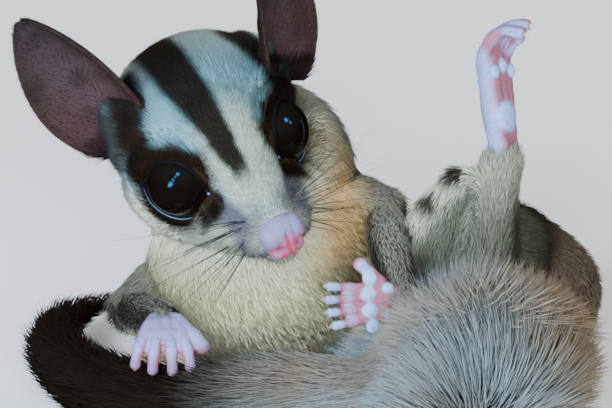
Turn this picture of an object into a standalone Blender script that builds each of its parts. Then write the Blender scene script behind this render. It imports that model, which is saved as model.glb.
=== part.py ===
"""A sugar glider at life size, curled on its side with one hind foot in the air.

Run it with blender --background --python part.py, or from the text editor.
Lengths are written in millimetres and multiplied by MM, so the scene is in metres.
The floor is the plane z = 0, +X is the picture's right and the viewer stands at -Y.
"""
import math
import random

import bmesh
import bpy
from mathutils import Matrix, Vector
from mathutils.bvhtree import BVHTree

MM = 0.001

# Driving dimensions, in millimetres
CUT_GAP = 0.3
ROOM_SLACK = 0.15
ROOM_TRIANGLES = 500
FLOOR_CENTRE = (0.7, 0.35)
HEAD_LENGTH = 37.0
HEAD_WIDTH = 29.0
EYEBALL_RADIUS = 5.3
EYE_SPREAD = 7.3
EAR_LENGTH = 23.0
EAR_WIDTH = 15.0
EAR_THICKNESS = 0.8
SHOULDER_RADIUS = 15.0
CHEST_RADIUS = 18.0
BELLY_RADIUS = 13.0
HIP_RADIUS = 12.8
TAIL_CORE_SHARE = 0.46
TAIL_CORE_TRIANGLES = 600
CUT_STEPS = 5
CUT_SEGMENTS = 16
FIRST_LOCK = 21.0
LOCK_TURN = math.radians(137.5)
LOCK_STEP = (1.9, 0.055)
LOCK_LENGTH = (5.2, 0.64)
LOCK_WIDTH = (1.2, 0.35)
LOCK_THICKNESS = 0.85
LOCK_SUNK = 0.26
LOCK_CURVE = 1.0
LOCK_CLEARANCE = 0.2
LOCK_SEED = 7

# The head's own frame: forward along the skull, up through the crown, left to its left ear
EYE_MIDPOINT = Vector((-10.4, 2.6, 38.5))
HEAD_FORWARD = Vector((0.43, -0.897, -0.078)).normalized()
HEAD_LEFT = Vector((-0.26, -0.209, 0.947)).cross(HEAD_FORWARD).normalized()
HEAD_UP = HEAD_FORWARD.cross(HEAD_LEFT).normalized()
HEAD_AXES = Matrix((HEAD_FORWARD, HEAD_UP, HEAD_LEFT)).transposed()

SIDES = {"left": 1.0, "right": -1.0}

# Middle of each ear's root on the head: the left ear is turned lower and further out
EAR_ROOTS = {"left": (-8.6, 3.6, 13.4), "right": (-9.6, 6.4, -11.2)}

# Joints of the four limbs, in millimetres above the floor
LIMBS = {
    "arm_left": {"root": (-4.0, 19.0, 27.0), "bend": (11.2, 12.0, 26.6), "end": (13.4, -7.4, 22.4)},
    "arm_right": {"root": (-13.0, 15.0, 19.0), "bend": (-26.0, 9.0, 11.5), "end": (-20.5, -7.8, 18.6)},
    "leg_left": {"root": (27.0, 19.0, 15.0), "bend": (24.5, 3.5, 13.6), "end": (28.6, 15.6, 31.0)},
    "leg_right": {"root": (28.0, 17.0, 9.0), "bend": (12.0, 3.5, 7.0), "end": (21.5, -2.4, 5.0)},
}

# The tail's middle line from the rump to its tip, with the radius of its brush at each point
TAIL_LINE = (
    ((31.0, 24.0, 13.5), 7.0),
    ((38.0, 16.0, 13.0), 5.4),
    ((38.6, 5.0, 13.0), 5.2),
    ((34.0, -6.0, 12.6), 7.6),
    ((25.5, -14.5, 13.2), 12.6),
    ((14.5, -18.6, 12.6), 12.6),
    ((3.0, -19.0, 10.4), 10.2),
    ((-9.0, -17.4, 8.6), 8.4),
    ((-20.5, -14.0, 7.6), 7.3),
    ((-30.5, -6.5, 6.8), 6.6),
    ((-36.5, 4.0, 6.0), 5.8),
    ((-37.5, 14.5, 5.2), 4.4),
    ((-34.5, 22.5, 4.2), 3.0),
    ((-30.0, 28.2, 3.4), 1.0),
)
TAIL_CUTS = (1.7, 3.5, 5.6, 8.2)
TAIL_NAMES = ("tail_root", "tail_rise", "tail_brush", "tail_dark", "tail_tip")


def link(name, mesh):
    """Give a mesh an object of its own in the glider's collection."""
    obj = bpy.data.objects.new(name, mesh)
    glider.objects.link(obj)
    return obj


def mesh_object(name, bm):
    """Turn a finished bmesh into an object."""
    mesh = bpy.data.meshes.new(name)
    bm.to_mesh(mesh)
    bm.free()
    return link(name, mesh)


def bake(obj):
    """Replace an object's mesh by what its modifiers make of it."""
    depsgraph = bpy.context.evaluated_depsgraph_get()
    made = bpy.data.meshes.new_from_object(obj.evaluated_get(depsgraph))
    obj.modifiers.clear()
    spent = obj.data
    obj.data = made
    bpy.data.meshes.remove(spent)
    return obj


def head_point(forward, up, left):
    """Place in the head's own millimetres, measured from the point between the eyes."""
    return EYE_MIDPOINT + HEAD_FORWARD * forward + HEAD_UP * up + HEAD_LEFT * left


def head_measure(point):
    """Read a point of the scene, in metres, as forward, up and left in the head's millimetres."""
    away = point / MM - floor_shift - EYE_MIDPOINT
    return away.dot(HEAD_FORWARD), away.dot(HEAD_UP), away.dot(HEAD_LEFT)


def add_ball(bm, centre, radii, axes=None, segments=20, rings=12):
    """Add an ellipsoid, with its three radii along the given axes."""
    made = bmesh.ops.create_uvsphere(bm, u_segments=segments, v_segments=rings, radius=1.0)
    turn = (axes or Matrix.Identity(3)).to_4x4()
    size = Matrix.Diagonal((*(value * MM for value in radii), 1.0))
    place = Matrix.Translation((Vector(centre) + floor_shift) * MM)
    bmesh.ops.transform(bm, matrix=place @ turn @ size, verts=made["verts"])


def head_ball(bm, centre, radii):
    """Add an ellipsoid placed and turned in the head's own frame."""
    add_ball(bm, head_point(*centre), radii, HEAD_AXES)


def spline(points, steps):
    """Read a smooth line through the points, steps places to each span."""
    line = []
    last = len(points) - 1
    for index in range(last):
        before = points[max(index - 1, 0)]
        start = points[index]
        end = points[index + 1]
        after = points[min(index + 2, last)]
        for step in range(steps):
            t = step / steps
            line.append(
                0.5 * (2 * start + (end - before) * t
                       + (2 * before - 5 * start + 4 * end - after) * t * t
                       + (3 * start - before - 3 * end + after) * t ** 3)
            )
    line.append(points[-1])
    return line


def add_trail(bm, stations, steps=6, segments=14):
    """Add balls close together along a smooth line, so that they fuse into a tapering limb."""
    packed = [Vector((*point, radius)) for point, radius in stations]
    for place in spline(packed, steps):
        add_ball(bm, place[:3], (place[3],) * 3, None, segments, segments // 2 + 1)


def frame_along(direction):
    """Axes whose third one follows the direction."""
    return Vector(direction).normalized().to_track_quat("Z", "Y").to_matrix()


def fuse(name, build, voxel, rounds):
    """Fuse the overlapping shapes that build() adds into one smooth closed body."""
    bm = bmesh.new()
    build(bm)
    obj = mesh_object(name, bm)
    remesh = obj.modifiers.new("Fuse", "REMESH")
    remesh.mode = "VOXEL"
    remesh.voxel_size = voxel * MM
    smooth = obj.modifiers.new("Smooth", "SMOOTH")
    smooth.factor = 0.5
    smooth.iterations = rounds
    return bake(obj)


def thin_out(obj, triangles):
    """Bring a mesh down to about the given number of triangles, keeping its form."""
    bm = bmesh.new()
    bm.from_mesh(obj.data)
    bmesh.ops.triangulate(bm, faces=bm.faces)
    bm.to_mesh(obj.data)
    count = len(bm.faces)
    bm.free()
    if count > triangles:
        fewer = obj.modifiers.new("Thin out", "DECIMATE")
        fewer.ratio = triangles / count
        bake(obj)
    return obj


def largest_shell(obj):
    """Keep only the largest closed surface of a mesh."""
    bm = bmesh.new()
    bm.from_mesh(obj.data)
    bmesh.ops.triangulate(bm, faces=bm.faces)
    left = set(bm.faces)
    shells = []
    while left:
        todo = [left.pop()]
        shell = set(todo)
        while todo:
            for edge in todo.pop().edges:
                for face in edge.link_faces:
                    if face in left:
                        left.remove(face)
                        shell.add(face)
                        todo.append(face)
        shells.append(shell)
    keep = max(shells, key=lambda shell: sum(face.calc_area() for face in shell))
    spare = [face for face in bm.faces if face not in keep]
    bmesh.ops.delete(bm, geom=spare, context="FACES")
    bm.to_mesh(obj.data)
    bm.free()
    return obj


def boolean(obj, cutter, operation="DIFFERENCE"):
    """Cut an object by another, or join the two, with the manifold solver where the exact one fails."""
    before = obj.data.copy()
    for solver in ("EXACT", "MANIFOLD"):
        modifier = obj.modifiers.new("Boolean", "BOOLEAN")
        modifier.operation = operation
        modifier.solver = solver
        modifier.object = cutter
        bake(obj)
        if obj.data.polygons:
            break
        obj.data = before.copy()
    return obj


def room_of(obj):
    """Copy an object, plainer and moved out by the gap, as the room that others keep clear of."""
    room = bpy.data.objects.new(obj.name + "_room", obj.data.copy())
    cutters.objects.link(room)
    room.hide_render = True
    room.display_type = "WIRE"
    growth = CUT_GAP
    if len(room.data.polygons) > ROOM_TRIANGLES:
        thin_out(room, ROOM_TRIANGLES)
        growth = CUT_GAP + ROOM_SLACK
    places = [vertex.co + vertex.normal * growth * MM for vertex in room.data.vertices]
    for vertex, place in zip(room.data.vertices, places):
        vertex.co = place
    return room


def tree_of(obj):
    """Search tree over the triangles of an object's mesh."""
    corners = [vertex.co for vertex in obj.data.vertices]
    faces = [tuple(face.vertices) for face in obj.data.polygons]
    return BVHTree.FromPolygons(corners, faces)


def trim(obj, rooms):
    """Cut an object clear of each room that it reaches."""
    for room in rooms:
        if tree_of(obj).overlap(tree_of(room)):
            boolean(obj, room)
            largest_shell(obj)
    return obj


def disc_cutter(centre, normal, radius):
    """Thin round cut across a body."""
    bm = bmesh.new()
    bmesh.ops.create_cone(bm, cap_ends=True, segments=32, radius1=radius * MM, radius2=radius * MM,
                          depth=CUT_GAP * MM)
    place = Matrix.Translation((Vector(centre) + floor_shift) * MM)
    bmesh.ops.transform(bm, matrix=place @ frame_along(normal).to_4x4(), verts=bm.verts)
    return mesh_object("cutter", bm)


def part_by(whole, blades, seeds):
    """Part a body with thin cuts and name each piece by the seed point nearest to it."""
    for blade in blades:
        boolean(whole, blade)
        bpy.data.objects.remove(blade)
    bm = bmesh.new()
    bm.from_mesh(whole.data)
    bmesh.ops.triangulate(bm, faces=bm.faces)
    bm.verts.ensure_lookup_table()
    shells = sorted(loose_vertices(bm), key=len)[-len(seeds):]
    pieces = {}
    for name, seed in seeds.items():
        target = (Vector(seed) + floor_shift) * MM
        shell = min(shells, key=lambda verts: (middle_of(verts) - target).length)
        shells.remove(shell)
        piece = bm.copy()
        piece.verts.ensure_lookup_table()
        numbers = {vertex.index for vertex in shell}
        spare = [vertex for vertex in piece.verts if vertex.index not in numbers]
        bmesh.ops.delete(piece, geom=spare, context="VERTS")
        pieces[name] = mesh_object(name, piece)
    bm.free()
    bpy.data.objects.remove(whole)
    return pieces


def loose_vertices(bm):
    """List the vertices of each separate shell, leaving out scraps."""
    left = set(bm.verts)
    shells = []
    while left:
        todo = [left.pop()]
        shell = list(todo)
        while todo:
            for edge in todo.pop().link_edges:
                for vertex in edge.verts:
                    if vertex in left:
                        left.remove(vertex)
                        shell.append(vertex)
                        todo.append(vertex)
        if len(shell) > 40:
            shells.append(shell)
    return shells


def middle_of(vertices):
    """Mean place of some vertices."""
    return sum((vertex.co for vertex in vertices), Vector()) / len(vertices)


def rest_on_floor(obj):
    """Press what would reach below the floor flat on it."""
    for vertex in obj.data.vertices:
        vertex.co.z = max(vertex.co.z, 0.0)
    return obj


def build_head(bm):
    """Skull, cheeks, muzzle and jaw under their fur."""
    half = HEAD_WIDTH / 2
    head_ball(bm, (-10.0, 1.8, 0), (13.4, 13.2, half - 0.3))
    head_ball(bm, (-15.0, -1.0, 0), (HEAD_LENGTH - 27.5, 12.0, half - 1.6))
    bridge = (((-5.0, 3.0), 9.6), ((1.0, 0.4), 7.0), ((6.0, -2.2), 5.1), ((10.4, -4.6), 3.7))
    add_trail(bm, [(head_point(f, u, 0), radius) for (f, u), radius in bridge])
    jaw = (((-8.0, -7.5), 6.6), ((0.0, -8.2), 4.9), ((6.0, -9.2), 3.3), ((10.0, -9.6), 2.2))
    add_trail(bm, [(head_point(f, u, 0), radius) for (f, u), radius in jaw])
    for side in SIDES.values():
        cheek = (((-9.5, -4.4, 8.0), half - 8.0), ((-4.0, -4.8, 7.2), 6.4), ((2.0, -5.4, 5.0), 5.2),
                 ((6.2, -6.0, 3.7), 4.2), ((9.6, -6.3, 2.6), 3.3))
        add_trail(bm, [(head_point(f, u, left * side), radius) for (f, u, left), radius in cheek])
        head_ball(bm, (-10.5, 6.4, 9.0 * side), (5.2, 5.6, 4.6))
        lid = eye_centre(side) + eye_axis(side) * 2.8
        for step in range(16):
            turn = 2 * math.pi * step / 16
            rim = frame_along(eye_axis(side)) @ Vector((math.cos(turn), math.sin(turn), 0))
            add_ball(bm, lid + rim * 4.5, (1.1, 1.1, 1.1), segments=10, rings=6)


def eye_centre(side):
    """Centre of an eyeball."""
    return head_point(-2.2, -0.2, EYE_SPREAD * side)


def eye_axis(side):
    """Direction in which an eye looks."""
    return (HEAD_AXES @ Vector((0.68, 0.12, 0.72 * side))).normalized()


def carve_face(obj):
    """Press the line of the mouth into the sides of the muzzle."""
    for vertex in obj.data.vertices:
        forward, up, left = head_measure(vertex.co)
        along = (forward - 3.2) / 9.0
        if not 0.0 < along < 1.0:
            continue
        line = -8.9 + 0.5 * math.cos(math.pi * along)
        depth = 0.7 * math.exp(-((up - line) / 0.5) ** 2) * min(1.0, 4 * along)
        vertex.co -= vertex.normal * depth * MM


def build_nose(bm):
    """Bare nose pad over the upper lip."""
    head_ball(bm, (12.6, -5.6, 0), (2.8, 3.2, 3.1))
    head_ball(bm, (12.9, -7.4, 0), (2.3, 2.0, 2.2))
    for side in SIDES.values():
        head_ball(bm, (12.7, -5.7, 1.8 * side), (2.5, 2.4, 1.6))


def carve_nose(obj):
    """Press the nostrils and the middle groove into the nose pad."""
    for vertex in obj.data.vertices:
        forward, up, left = head_measure(vertex.co)
        if forward < 11.5:
            continue
        nostril = math.exp(-(((abs(left) - 2.1) / 0.6) ** 2 + ((up + 5.9) / 0.6) ** 2))
        groove = 0.45 * math.exp(-(left / 0.35) ** 2) * (up < -4.6)
        vertex.co -= vertex.normal * (0.9 * nostril + groove) * MM


def make_ear(side_name):
    """Thin cupped ear, made flat, curled across its width and solidified."""
    side = SIDES[side_name]
    columns, rows = 7, 8
    bm = bmesh.new()
    bmesh.ops.create_grid(bm, x_segments=columns, y_segments=rows, size=1.0)
    along = (HEAD_AXES @ Vector((-0.28, 0.86, 0.42 * side))).normalized()
    facing = HEAD_AXES @ Vector((0.80, 0.0, 0.60 * side))
    facing = (facing - along * facing.dot(along)).normalized()
    across = along.cross(facing)
    root = head_point(*EAR_ROOTS[side_name])
    for vertex in bm.verts:
        share = (vertex.co.y + 1) / 2
        width = EAR_WIDTH / 2 * math.sin(math.pi * (0.16 + 0.80 * share)) ** 0.62
        curl = math.radians(62 - 26 * share)
        angle = curl * vertex.co.x
        bend = width / math.sin(curl)
        reach = EAR_LENGTH * (share - 0.06)
        sideways = bend * math.sin(angle)
        depth = bend * (1 - math.cos(angle)) - 2.2 * share * share
        place = root + along * reach + across * sideways + facing * (depth - 2.0)
        vertex.co = (place + floor_shift) * MM
    bmesh.ops.recalc_face_normals(bm, faces=bm.faces)
    ear = mesh_object("ear_" + side_name, bm)
    wall = ear.modifiers.new("Wall", "SOLIDIFY")
    wall.thickness = EAR_THICKNESS * MM
    wall.offset = 0.0
    return largest_shell(bake(ear))


def build_trunk(bm):
    """Shoulders, chest, belly and hips in one curled body."""
    add_ball(bm, (-7.5, 17.0, 30.0), (SHOULDER_RADIUS,) * 3)
    add_ball(bm, (-6.0, 12.8, 17.1), (CHEST_RADIUS,) * 3)
    add_trail(bm, (
        ((-6.5, 15.0, 22.0), CHEST_RADIUS - 1.5),
        ((3.0, 15.0, 14.2), 15.0),
        ((12.0, 14.5, 11.9), BELLY_RADIUS),
        ((20.0, 16.0, 11.8), BELLY_RADIUS),
        ((26.5, 18.0, 11.6), HIP_RADIUS),
    ), segments=24)
    add_ball(bm, (0.5, 19.0, 26.0), (8.5, 8.5, 8.5))


def build_upper(bm, limb, thick):
    """Upper part of a limb, from its root in the body to its bend."""
    root, bend = Vector(limb["root"]), Vector(limb["bend"])
    add_trail(bm, ((root, thick * 1.15), (root.lerp(bend, 0.5), thick), (bend, thick * 0.72)))


def build_lower(bm, limb, thick, end_thick):
    """Lower part of a limb, from its bend to the wrist or heel."""
    bend, end = Vector(limb["bend"]), Vector(limb["end"])
    add_trail(bm, ((bend, thick * 0.9), (bend.lerp(end, 0.35), thick), (bend.lerp(end, 0.8), end_thick * 1.1),
                   (end, end_thick)))


# Digits of a hand and a foot: place across the palm, spread, length, radius, curl and claw length
HAND_DIGITS = (
    (-1.20, -0.95, 4.0, 1.35, 0.20, 0.0),
    (-0.75, -0.30, 4.8, 0.95, 0.35, 1.5),
    (-0.25, -0.08, 5.2, 0.95, 0.40, 1.6),
    (0.30, 0.14, 5.0, 0.95, 0.40, 1.6),
    (0.80, 0.38, 4.4, 0.95, 0.34, 1.5),
)
FOOT_DIGITS = (
    (-1.10, -0.50, 5.4, 1.45, 0.80, 0.0),
    (-0.65, -0.16, 6.0, 1.05, 0.90, 1.4),
    (-0.20, -0.04, 6.4, 1.05, 0.90, 1.4),
    (0.30, 0.12, 8.0, 1.15, 0.85, 1.8),
    (0.80, 0.26, 7.4, 1.15, 0.80, 1.8),
)
FLAT_FOOT_DIGITS = tuple((*digit[:4], 0.12, digit[5]) for digit in FOOT_DIGITS)

PAWS = {
    "hand_left": {"wrist": (13.0, -9.0, 22.1), "along": (-0.95, -0.12, -0.02), "palm": (-0.1, -0.88, 0.45),
                  "digits": HAND_DIGITS, "length": 4.0, "width": 3.5, "thickness": 1.8},
    "hand_right": {"wrist": (-19.8, -9.4, 19.0), "along": (0.12, -0.90, -0.30), "palm": (0.0, -0.35, -0.94),
                   "digits": HAND_DIGITS, "length": 4.0, "width": 3.5, "thickness": 1.8},
    "foot_left": {"wrist": (28.7, 16.6, 32.4), "along": (-0.12, 0.42, 0.90), "palm": (0.85, -0.50, 0.15),
                  "digits": FOOT_DIGITS, "length": 12.0, "width": 3.3, "thickness": 2.1},
    "foot_right": {"wrist": (23.0, -1.6, 3.6), "along": (0.90, 0.42, -0.06), "palm": (0.0, 0.0, -1.0),
                   "digits": FLAT_FOOT_DIGITS, "length": 10.0, "width": 3.3, "thickness": 2.1},
}


def build_paw(bm, paw):
    """Palm or sole with its pads, and a row of clawed digits that curl towards it."""
    along = Vector(paw["along"]).normalized()
    palm = Vector(paw["palm"])
    palm = (palm - along * palm.dot(along)).normalized()
    across = palm.cross(along)
    axes = Matrix((along, across, palm)).transposed()
    wrist = Vector(paw["wrist"])
    length, width, thickness = paw["length"], paw["width"], paw["thickness"]
    for step in range(5):
        share = step / 4
        half = width * (0.62 + 0.38 * math.sin(math.pi * 0.5 * share))
        add_ball(bm, wrist + along * length * share, (length * 0.3, half, thickness), axes, 16, 9)
    for offset, spread, reach, radius, curl, claw in paw["digits"]:
        root = wrist + along * length * (1.0 if abs(offset) < 1.0 else 0.6) + across * width * 0.66 * offset
        heading = (along * math.cos(spread) + across * math.sin(spread)).normalized()
        stations = []
        for step in range(5):
            share = step / 4
            place = root + heading * reach * share + palm * curl * reach * share * share
            stations.append((place, radius * (1.15 if step == 3 else 1.0 - 0.2 * share)))
        add_trail(bm, stations, steps=3, segments=10)
        if claw:
            tip = stations[-1][0]
            onward = (tip - stations[-2][0]).normalized()
            hook = [(tip + onward * claw * share + palm * 0.5 * claw * share * share, 0.55 - 0.3 * share)
                    for share in (0.0, 0.5, 1.0)]
            add_trail(bm, hook, steps=4, segments=8)
    for share, offset in ((1.05, -0.72), (1.12, -0.24), (1.12, 0.26), (1.0, 0.74), (0.35, -0.4), (0.35, 0.45)):
        centre = wrist + along * length * share + across * width * offset + palm * thickness * 0.75
        add_ball(bm, centre, (width * 0.27,) * 3, segments=12, rings=7)


def core_share(index):
    """Share of the brush that the solid core fills: all of it at the rump, less than half further on."""
    return 1.0 + (TAIL_CORE_SHARE - 1.0) * min(1.0, max(0.0, (index - 1.0) / 1.6))


def build_tail_core(bm):
    """Solid middle of the tail."""
    stations = [(place, radius * core_share(index)) for index, (place, radius) in enumerate(TAIL_LINE)]
    add_trail(bm, stations, steps=6, segments=16)


def read_tail(steps=12):
    """Walk along the tail: distance from the rump, place, two axes across, brush and core radius."""
    packed = [Vector((*place, radius)) for place, radius in TAIL_LINE]
    line = spline(packed, steps)
    top = Vector((0.0, 0.0, 1.0))
    distance = 0.0
    walk = []
    for index, spot in enumerate(line):
        here = spot.to_3d()
        onward = line[min(index + 1, len(line) - 1)].to_3d() - line[max(index - 1, 0)].to_3d()
        onward.normalize()
        top = (top - onward * top.dot(onward)).normalized()
        if walk:
            distance += (here - walk[-1][1]).length
        walk.append((distance, here, top, onward.cross(top), spot.w, spot.w * core_share(index / steps)))
    return walk


def tail_measure(walk, distance):
    """Place, axes and radii at a distance along the tail."""
    distance = min(max(distance, 0.0), walk[-1][0])
    number = next(index for index in range(1, len(walk)) if walk[index][0] >= distance)
    start, end = walk[number - 1], walk[number]
    part = (distance - start[0]) / (end[0] - start[0])
    return [low + (high - low) * part for low, high in zip(start[1:], end[1:])]


def tail_point(walk, distance, turn, share, lift=0.0):
    """Place on the tail: distance along it, turn around it and share of the way out to the tips."""
    middle, top, side, brush, core = tail_measure(walk, distance)
    outward = top * math.cos(turn) + side * math.sin(turn)
    return middle + outward * (core + (brush - core) * share + lift)


def lock_path(walk, root, step):
    """Distance and share of a lock that starts at root, step of the way to its tip."""
    base, grow = LOCK_LENGTH
    length = base + grow * tail_measure(walk, root)[3]
    rise = math.sin(LOCK_CURVE * step) / math.sin(LOCK_CURVE)
    return root + length * (0.6 * step + 0.4 * step * step), -LOCK_SUNK + (1.0 + LOCK_SUNK) * rise


def tail_lock(walk, chance, root, turn):
    """One flat tapered lock, wrapped around the tail, that bends back along it to a point."""
    bm = bmesh.new()
    reach = chance.uniform(0.94, 1.03)
    sweep = chance.uniform(-0.16, 0.16)
    rings = []
    for step, width, thick in ((0.0, 0.62, 1.0), (0.4, 1.0, 0.9), (0.76, 0.82, 0.6)):
        distance, share = lock_path(walk, root, step)
        share *= reach
        brush = tail_measure(walk, distance)[3]
        half = (LOCK_WIDTH[0] + brush * LOCK_WIDTH[1]) * width
        spread = half / (brush * (0.55 + 0.45 * max(share, 0.0)))
        middle = turn + sweep * step
        lift = LOCK_THICKNESS * thick
        ring = (
            (tail_point(walk, distance, middle - spread, share), 0.0),
            (tail_point(walk, distance, middle, share, lift), lift),
            (tail_point(walk, distance, middle + spread, share), 0.0),
            (tail_point(walk, distance, middle, share, -lift), -lift),
        )
        rings.append([lock_vertex(bm, *corner) for corner in ring])
    distance, share = lock_path(walk, root, 1.0)
    tip = lock_vertex(bm, tail_point(walk, distance, turn + sweep, share * reach), 0.0)
    for near, far in zip(rings, rings[1:]):
        for edge in (0, 2):
            for middle in (1, 3):
                bm.faces.new((near[edge], near[middle], far[middle]))
                bm.faces.new((near[edge], far[middle], far[edge]))
    for index in range(4):
        bm.faces.new((rings[-1][index], rings[-1][(index + 1) % 4], tip))
    bm.faces.new((rings[0][0], rings[0][1], rings[0][3]))
    bm.faces.new((rings[0][1], rings[0][2], rings[0][3]))
    bmesh.ops.recalc_face_normals(bm, faces=bm.faces)
    return mesh_object("lock", bm)


def lock_vertex(bm, place, lift):
    """Corner of a lock, kept a hair's breadth clear of the floor."""
    place.z = max(place.z, LOCK_CLEARANCE + (LOCK_THICKNESS + lift) * 0.4)
    return bm.verts.new((place + floor_shift) * MM)


def add_tail_locks(core, walk, cuts):
    """Join the locks of the brush to its core in one union, each turned on from the one before."""
    chance = random.Random(LOCK_SEED)
    locks = bpy.data.collections.new("locks")
    bpy.context.scene.collection.children.link(locks)
    base, grow = LOCK_STEP
    root = FIRST_LOCK
    turn = 0.0
    while lock_path(walk, root, 1.0)[0] < walk[-1][0]:
        nearest = min(cuts, key=lambda cut: abs(cut - root))
        clear = root
        if abs(nearest - root) < LOCK_THICKNESS + 0.4:
            clear = nearest + math.copysign(LOCK_THICKNESS + 0.4, root - nearest)
        lock = tail_lock(walk, chance, clear, turn)
        glider.objects.unlink(lock)
        locks.objects.link(lock)
        root += base + grow * tail_measure(walk, root)[3]
        turn += LOCK_TURN
    modifier = core.modifiers.new("Locks", "BOOLEAN")
    modifier.operation = "UNION"
    modifier.solver = "MANIFOLD"
    modifier.operand_type = "COLLECTION"
    modifier.collection = locks
    bake(core)
    for lock in list(locks.objects):
        bpy.data.objects.remove(lock)
    bpy.data.collections.remove(locks)
    return largest_shell(core)


def tail_cutter(walk, cut):
    """Thin cut through the core that flares along the lie of the locks, so that it runs between them."""
    half = 0.5 * CUT_GAP + 0.04
    below = [(cut - half, None)]
    above = [(cut + half, None)]
    last = None
    for number in range(CUT_STEPS):
        step = 1.25 * number / (CUT_STEPS - 1)
        distance, share = lock_path(walk, cut, step)
        brush, core = tail_measure(walk, distance)[3:]
        radius = core + (brush - core) * share
        if last is None:
            along, out = 0.5, 0.5
        else:
            along, out = distance - last[0], radius - last[1]
        length = math.hypot(along, out)
        below.append((distance - half * out / length, radius + half * along / length))
        above.append((distance + half * out / length, radius - half * along / length))
        last = (distance, radius)
    profile = below + above[::-1]
    bm = bmesh.new()
    segments = CUT_SEGMENTS
    rings = []
    for distance, radius in profile:
        middle, top, side = tail_measure(walk, distance)[:3]
        if radius is None:
            rings.append([bm.verts.new((middle + floor_shift) * MM)] * segments)
            continue
        ring = []
        for number in range(segments):
            turn = 2 * math.pi * number / segments
            place = middle + (top * math.cos(turn) + side * math.sin(turn)) * radius
            ring.append(bm.verts.new((place + floor_shift) * MM))
        rings.append(ring)
    for near, far in zip(rings, rings[1:]):
        for number in range(segments):
            onward = (number + 1) % segments
            for corners in ((near[number], near[onward], far[onward]), (near[number], far[onward], far[number])):
                if len(set(corners)) == 3:
                    bm.faces.new(corners)
    bmesh.ops.recalc_face_normals(bm, faces=bm.faces)
    return mesh_object("cutter", bm)


def build_tail(rooms):
    """Core and locks of the tail, cut clear of the rest of the body and parted into its lengths."""
    walk = read_tail()
    steps = (len(walk) - 1) // (len(TAIL_LINE) - 1)
    cuts = [walk[round(cut * steps)][0] for cut in TAIL_CUTS]
    tail = thin_out(fuse("tail", build_tail_core, 0.7, 6), TAIL_CORE_TRIANGLES)
    add_tail_locks(tail, walk, cuts)
    trim(rest_on_floor(tail), rooms)
    bounds = (0.0, *cuts, walk[-1][0])
    seeds = {}
    for name, low, high in zip(TAIL_NAMES, bounds, bounds[1:]):
        seeds[name] = tail_measure(walk, 0.5 * (low + high))[0]
    blades = [tail_cutter(walk, cut) for cut in cuts]
    for name, piece in part_by(tail, blades, seeds).items():
        finish(piece, "dark_fur" if name in ("tail_dark", "tail_tip") else "grey_fur")


def build_membrane_left(bm):
    """Gliding skin held up between the left heel, the belly and the left forearm."""
    heel, middle, corner, arm = (26.0, 14.5, 29.0), (21.0, 12.0, 33.2), (16.4, 9.5, 29.6), (13.8, 5.0, 25.5)
    add_trail(bm, ((heel, 3.2), (middle, 2.4), (corner, 2.4), (arm, 2.2)))
    add_trail(bm, ((heel, 3.4), ((23.5, 9.0, 24.0), 3.6), ((22.0, 6.0, 19.0), 3.6)))
    add_trail(bm, ((middle, 2.8), ((20.0, 9.0, 26.0), 3.6), ((18.5, 6.0, 19.0), 3.8)))
    add_trail(bm, ((corner, 2.6), ((16.4, 7.5, 24.0), 3.4), ((15.0, 5.0, 18.5), 3.6)))
    add_trail(bm, ((arm, 2.2), ((13.0, 4.5, 21.5), 2.8), ((12.5, 4.5, 18.0), 3.0)))


def build_membrane_right(bm):
    """Folded gliding skin from the right forearm along the floor to the right knee."""
    add_trail(bm, (
        ((-24.0, 3.0, 11.0), 2.2), ((-21.0, -1.0, 6.0), 2.9), ((-12.0, -3.5, 3.2), 3.2),
        ((-2.0, -2.5, 3.0), 3.2), ((6.0, -0.5, 3.2), 3.0), ((11.0, 1.0, 5.0), 2.2),
    ), steps=4)


MATERIALS = {
    "cream_fur": ((0.55, 0.50, 0.33), 0.9),
    "grey_fur": ((0.24, 0.25, 0.25), 0.9),
    "dark_fur": ((0.035, 0.03, 0.025), 0.9),
    "pink_skin": ((0.55, 0.36, 0.42), 0.5),
    "ear_skin": ((0.16, 0.09, 0.08), 0.6),
    "eye_black": ((0.008, 0.007, 0.007), 0.08),
}


def finish(obj, material_name):
    """Give a node its material and smooth shading."""
    material = bpy.data.materials.get(material_name)
    if material is None:
        colour, roughness = MATERIALS[material_name]
        material = bpy.data.materials.new(material_name)
        material.use_nodes = True
        shader = material.node_tree.nodes["Principled BSDF"]
        shader.inputs["Base Color"].default_value = (*colour, 1.0)
        shader.inputs["Roughness"].default_value = roughness
    obj.data.materials.clear()
    obj.data.materials.append(material)
    obj.data.shade_smooth()


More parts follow.
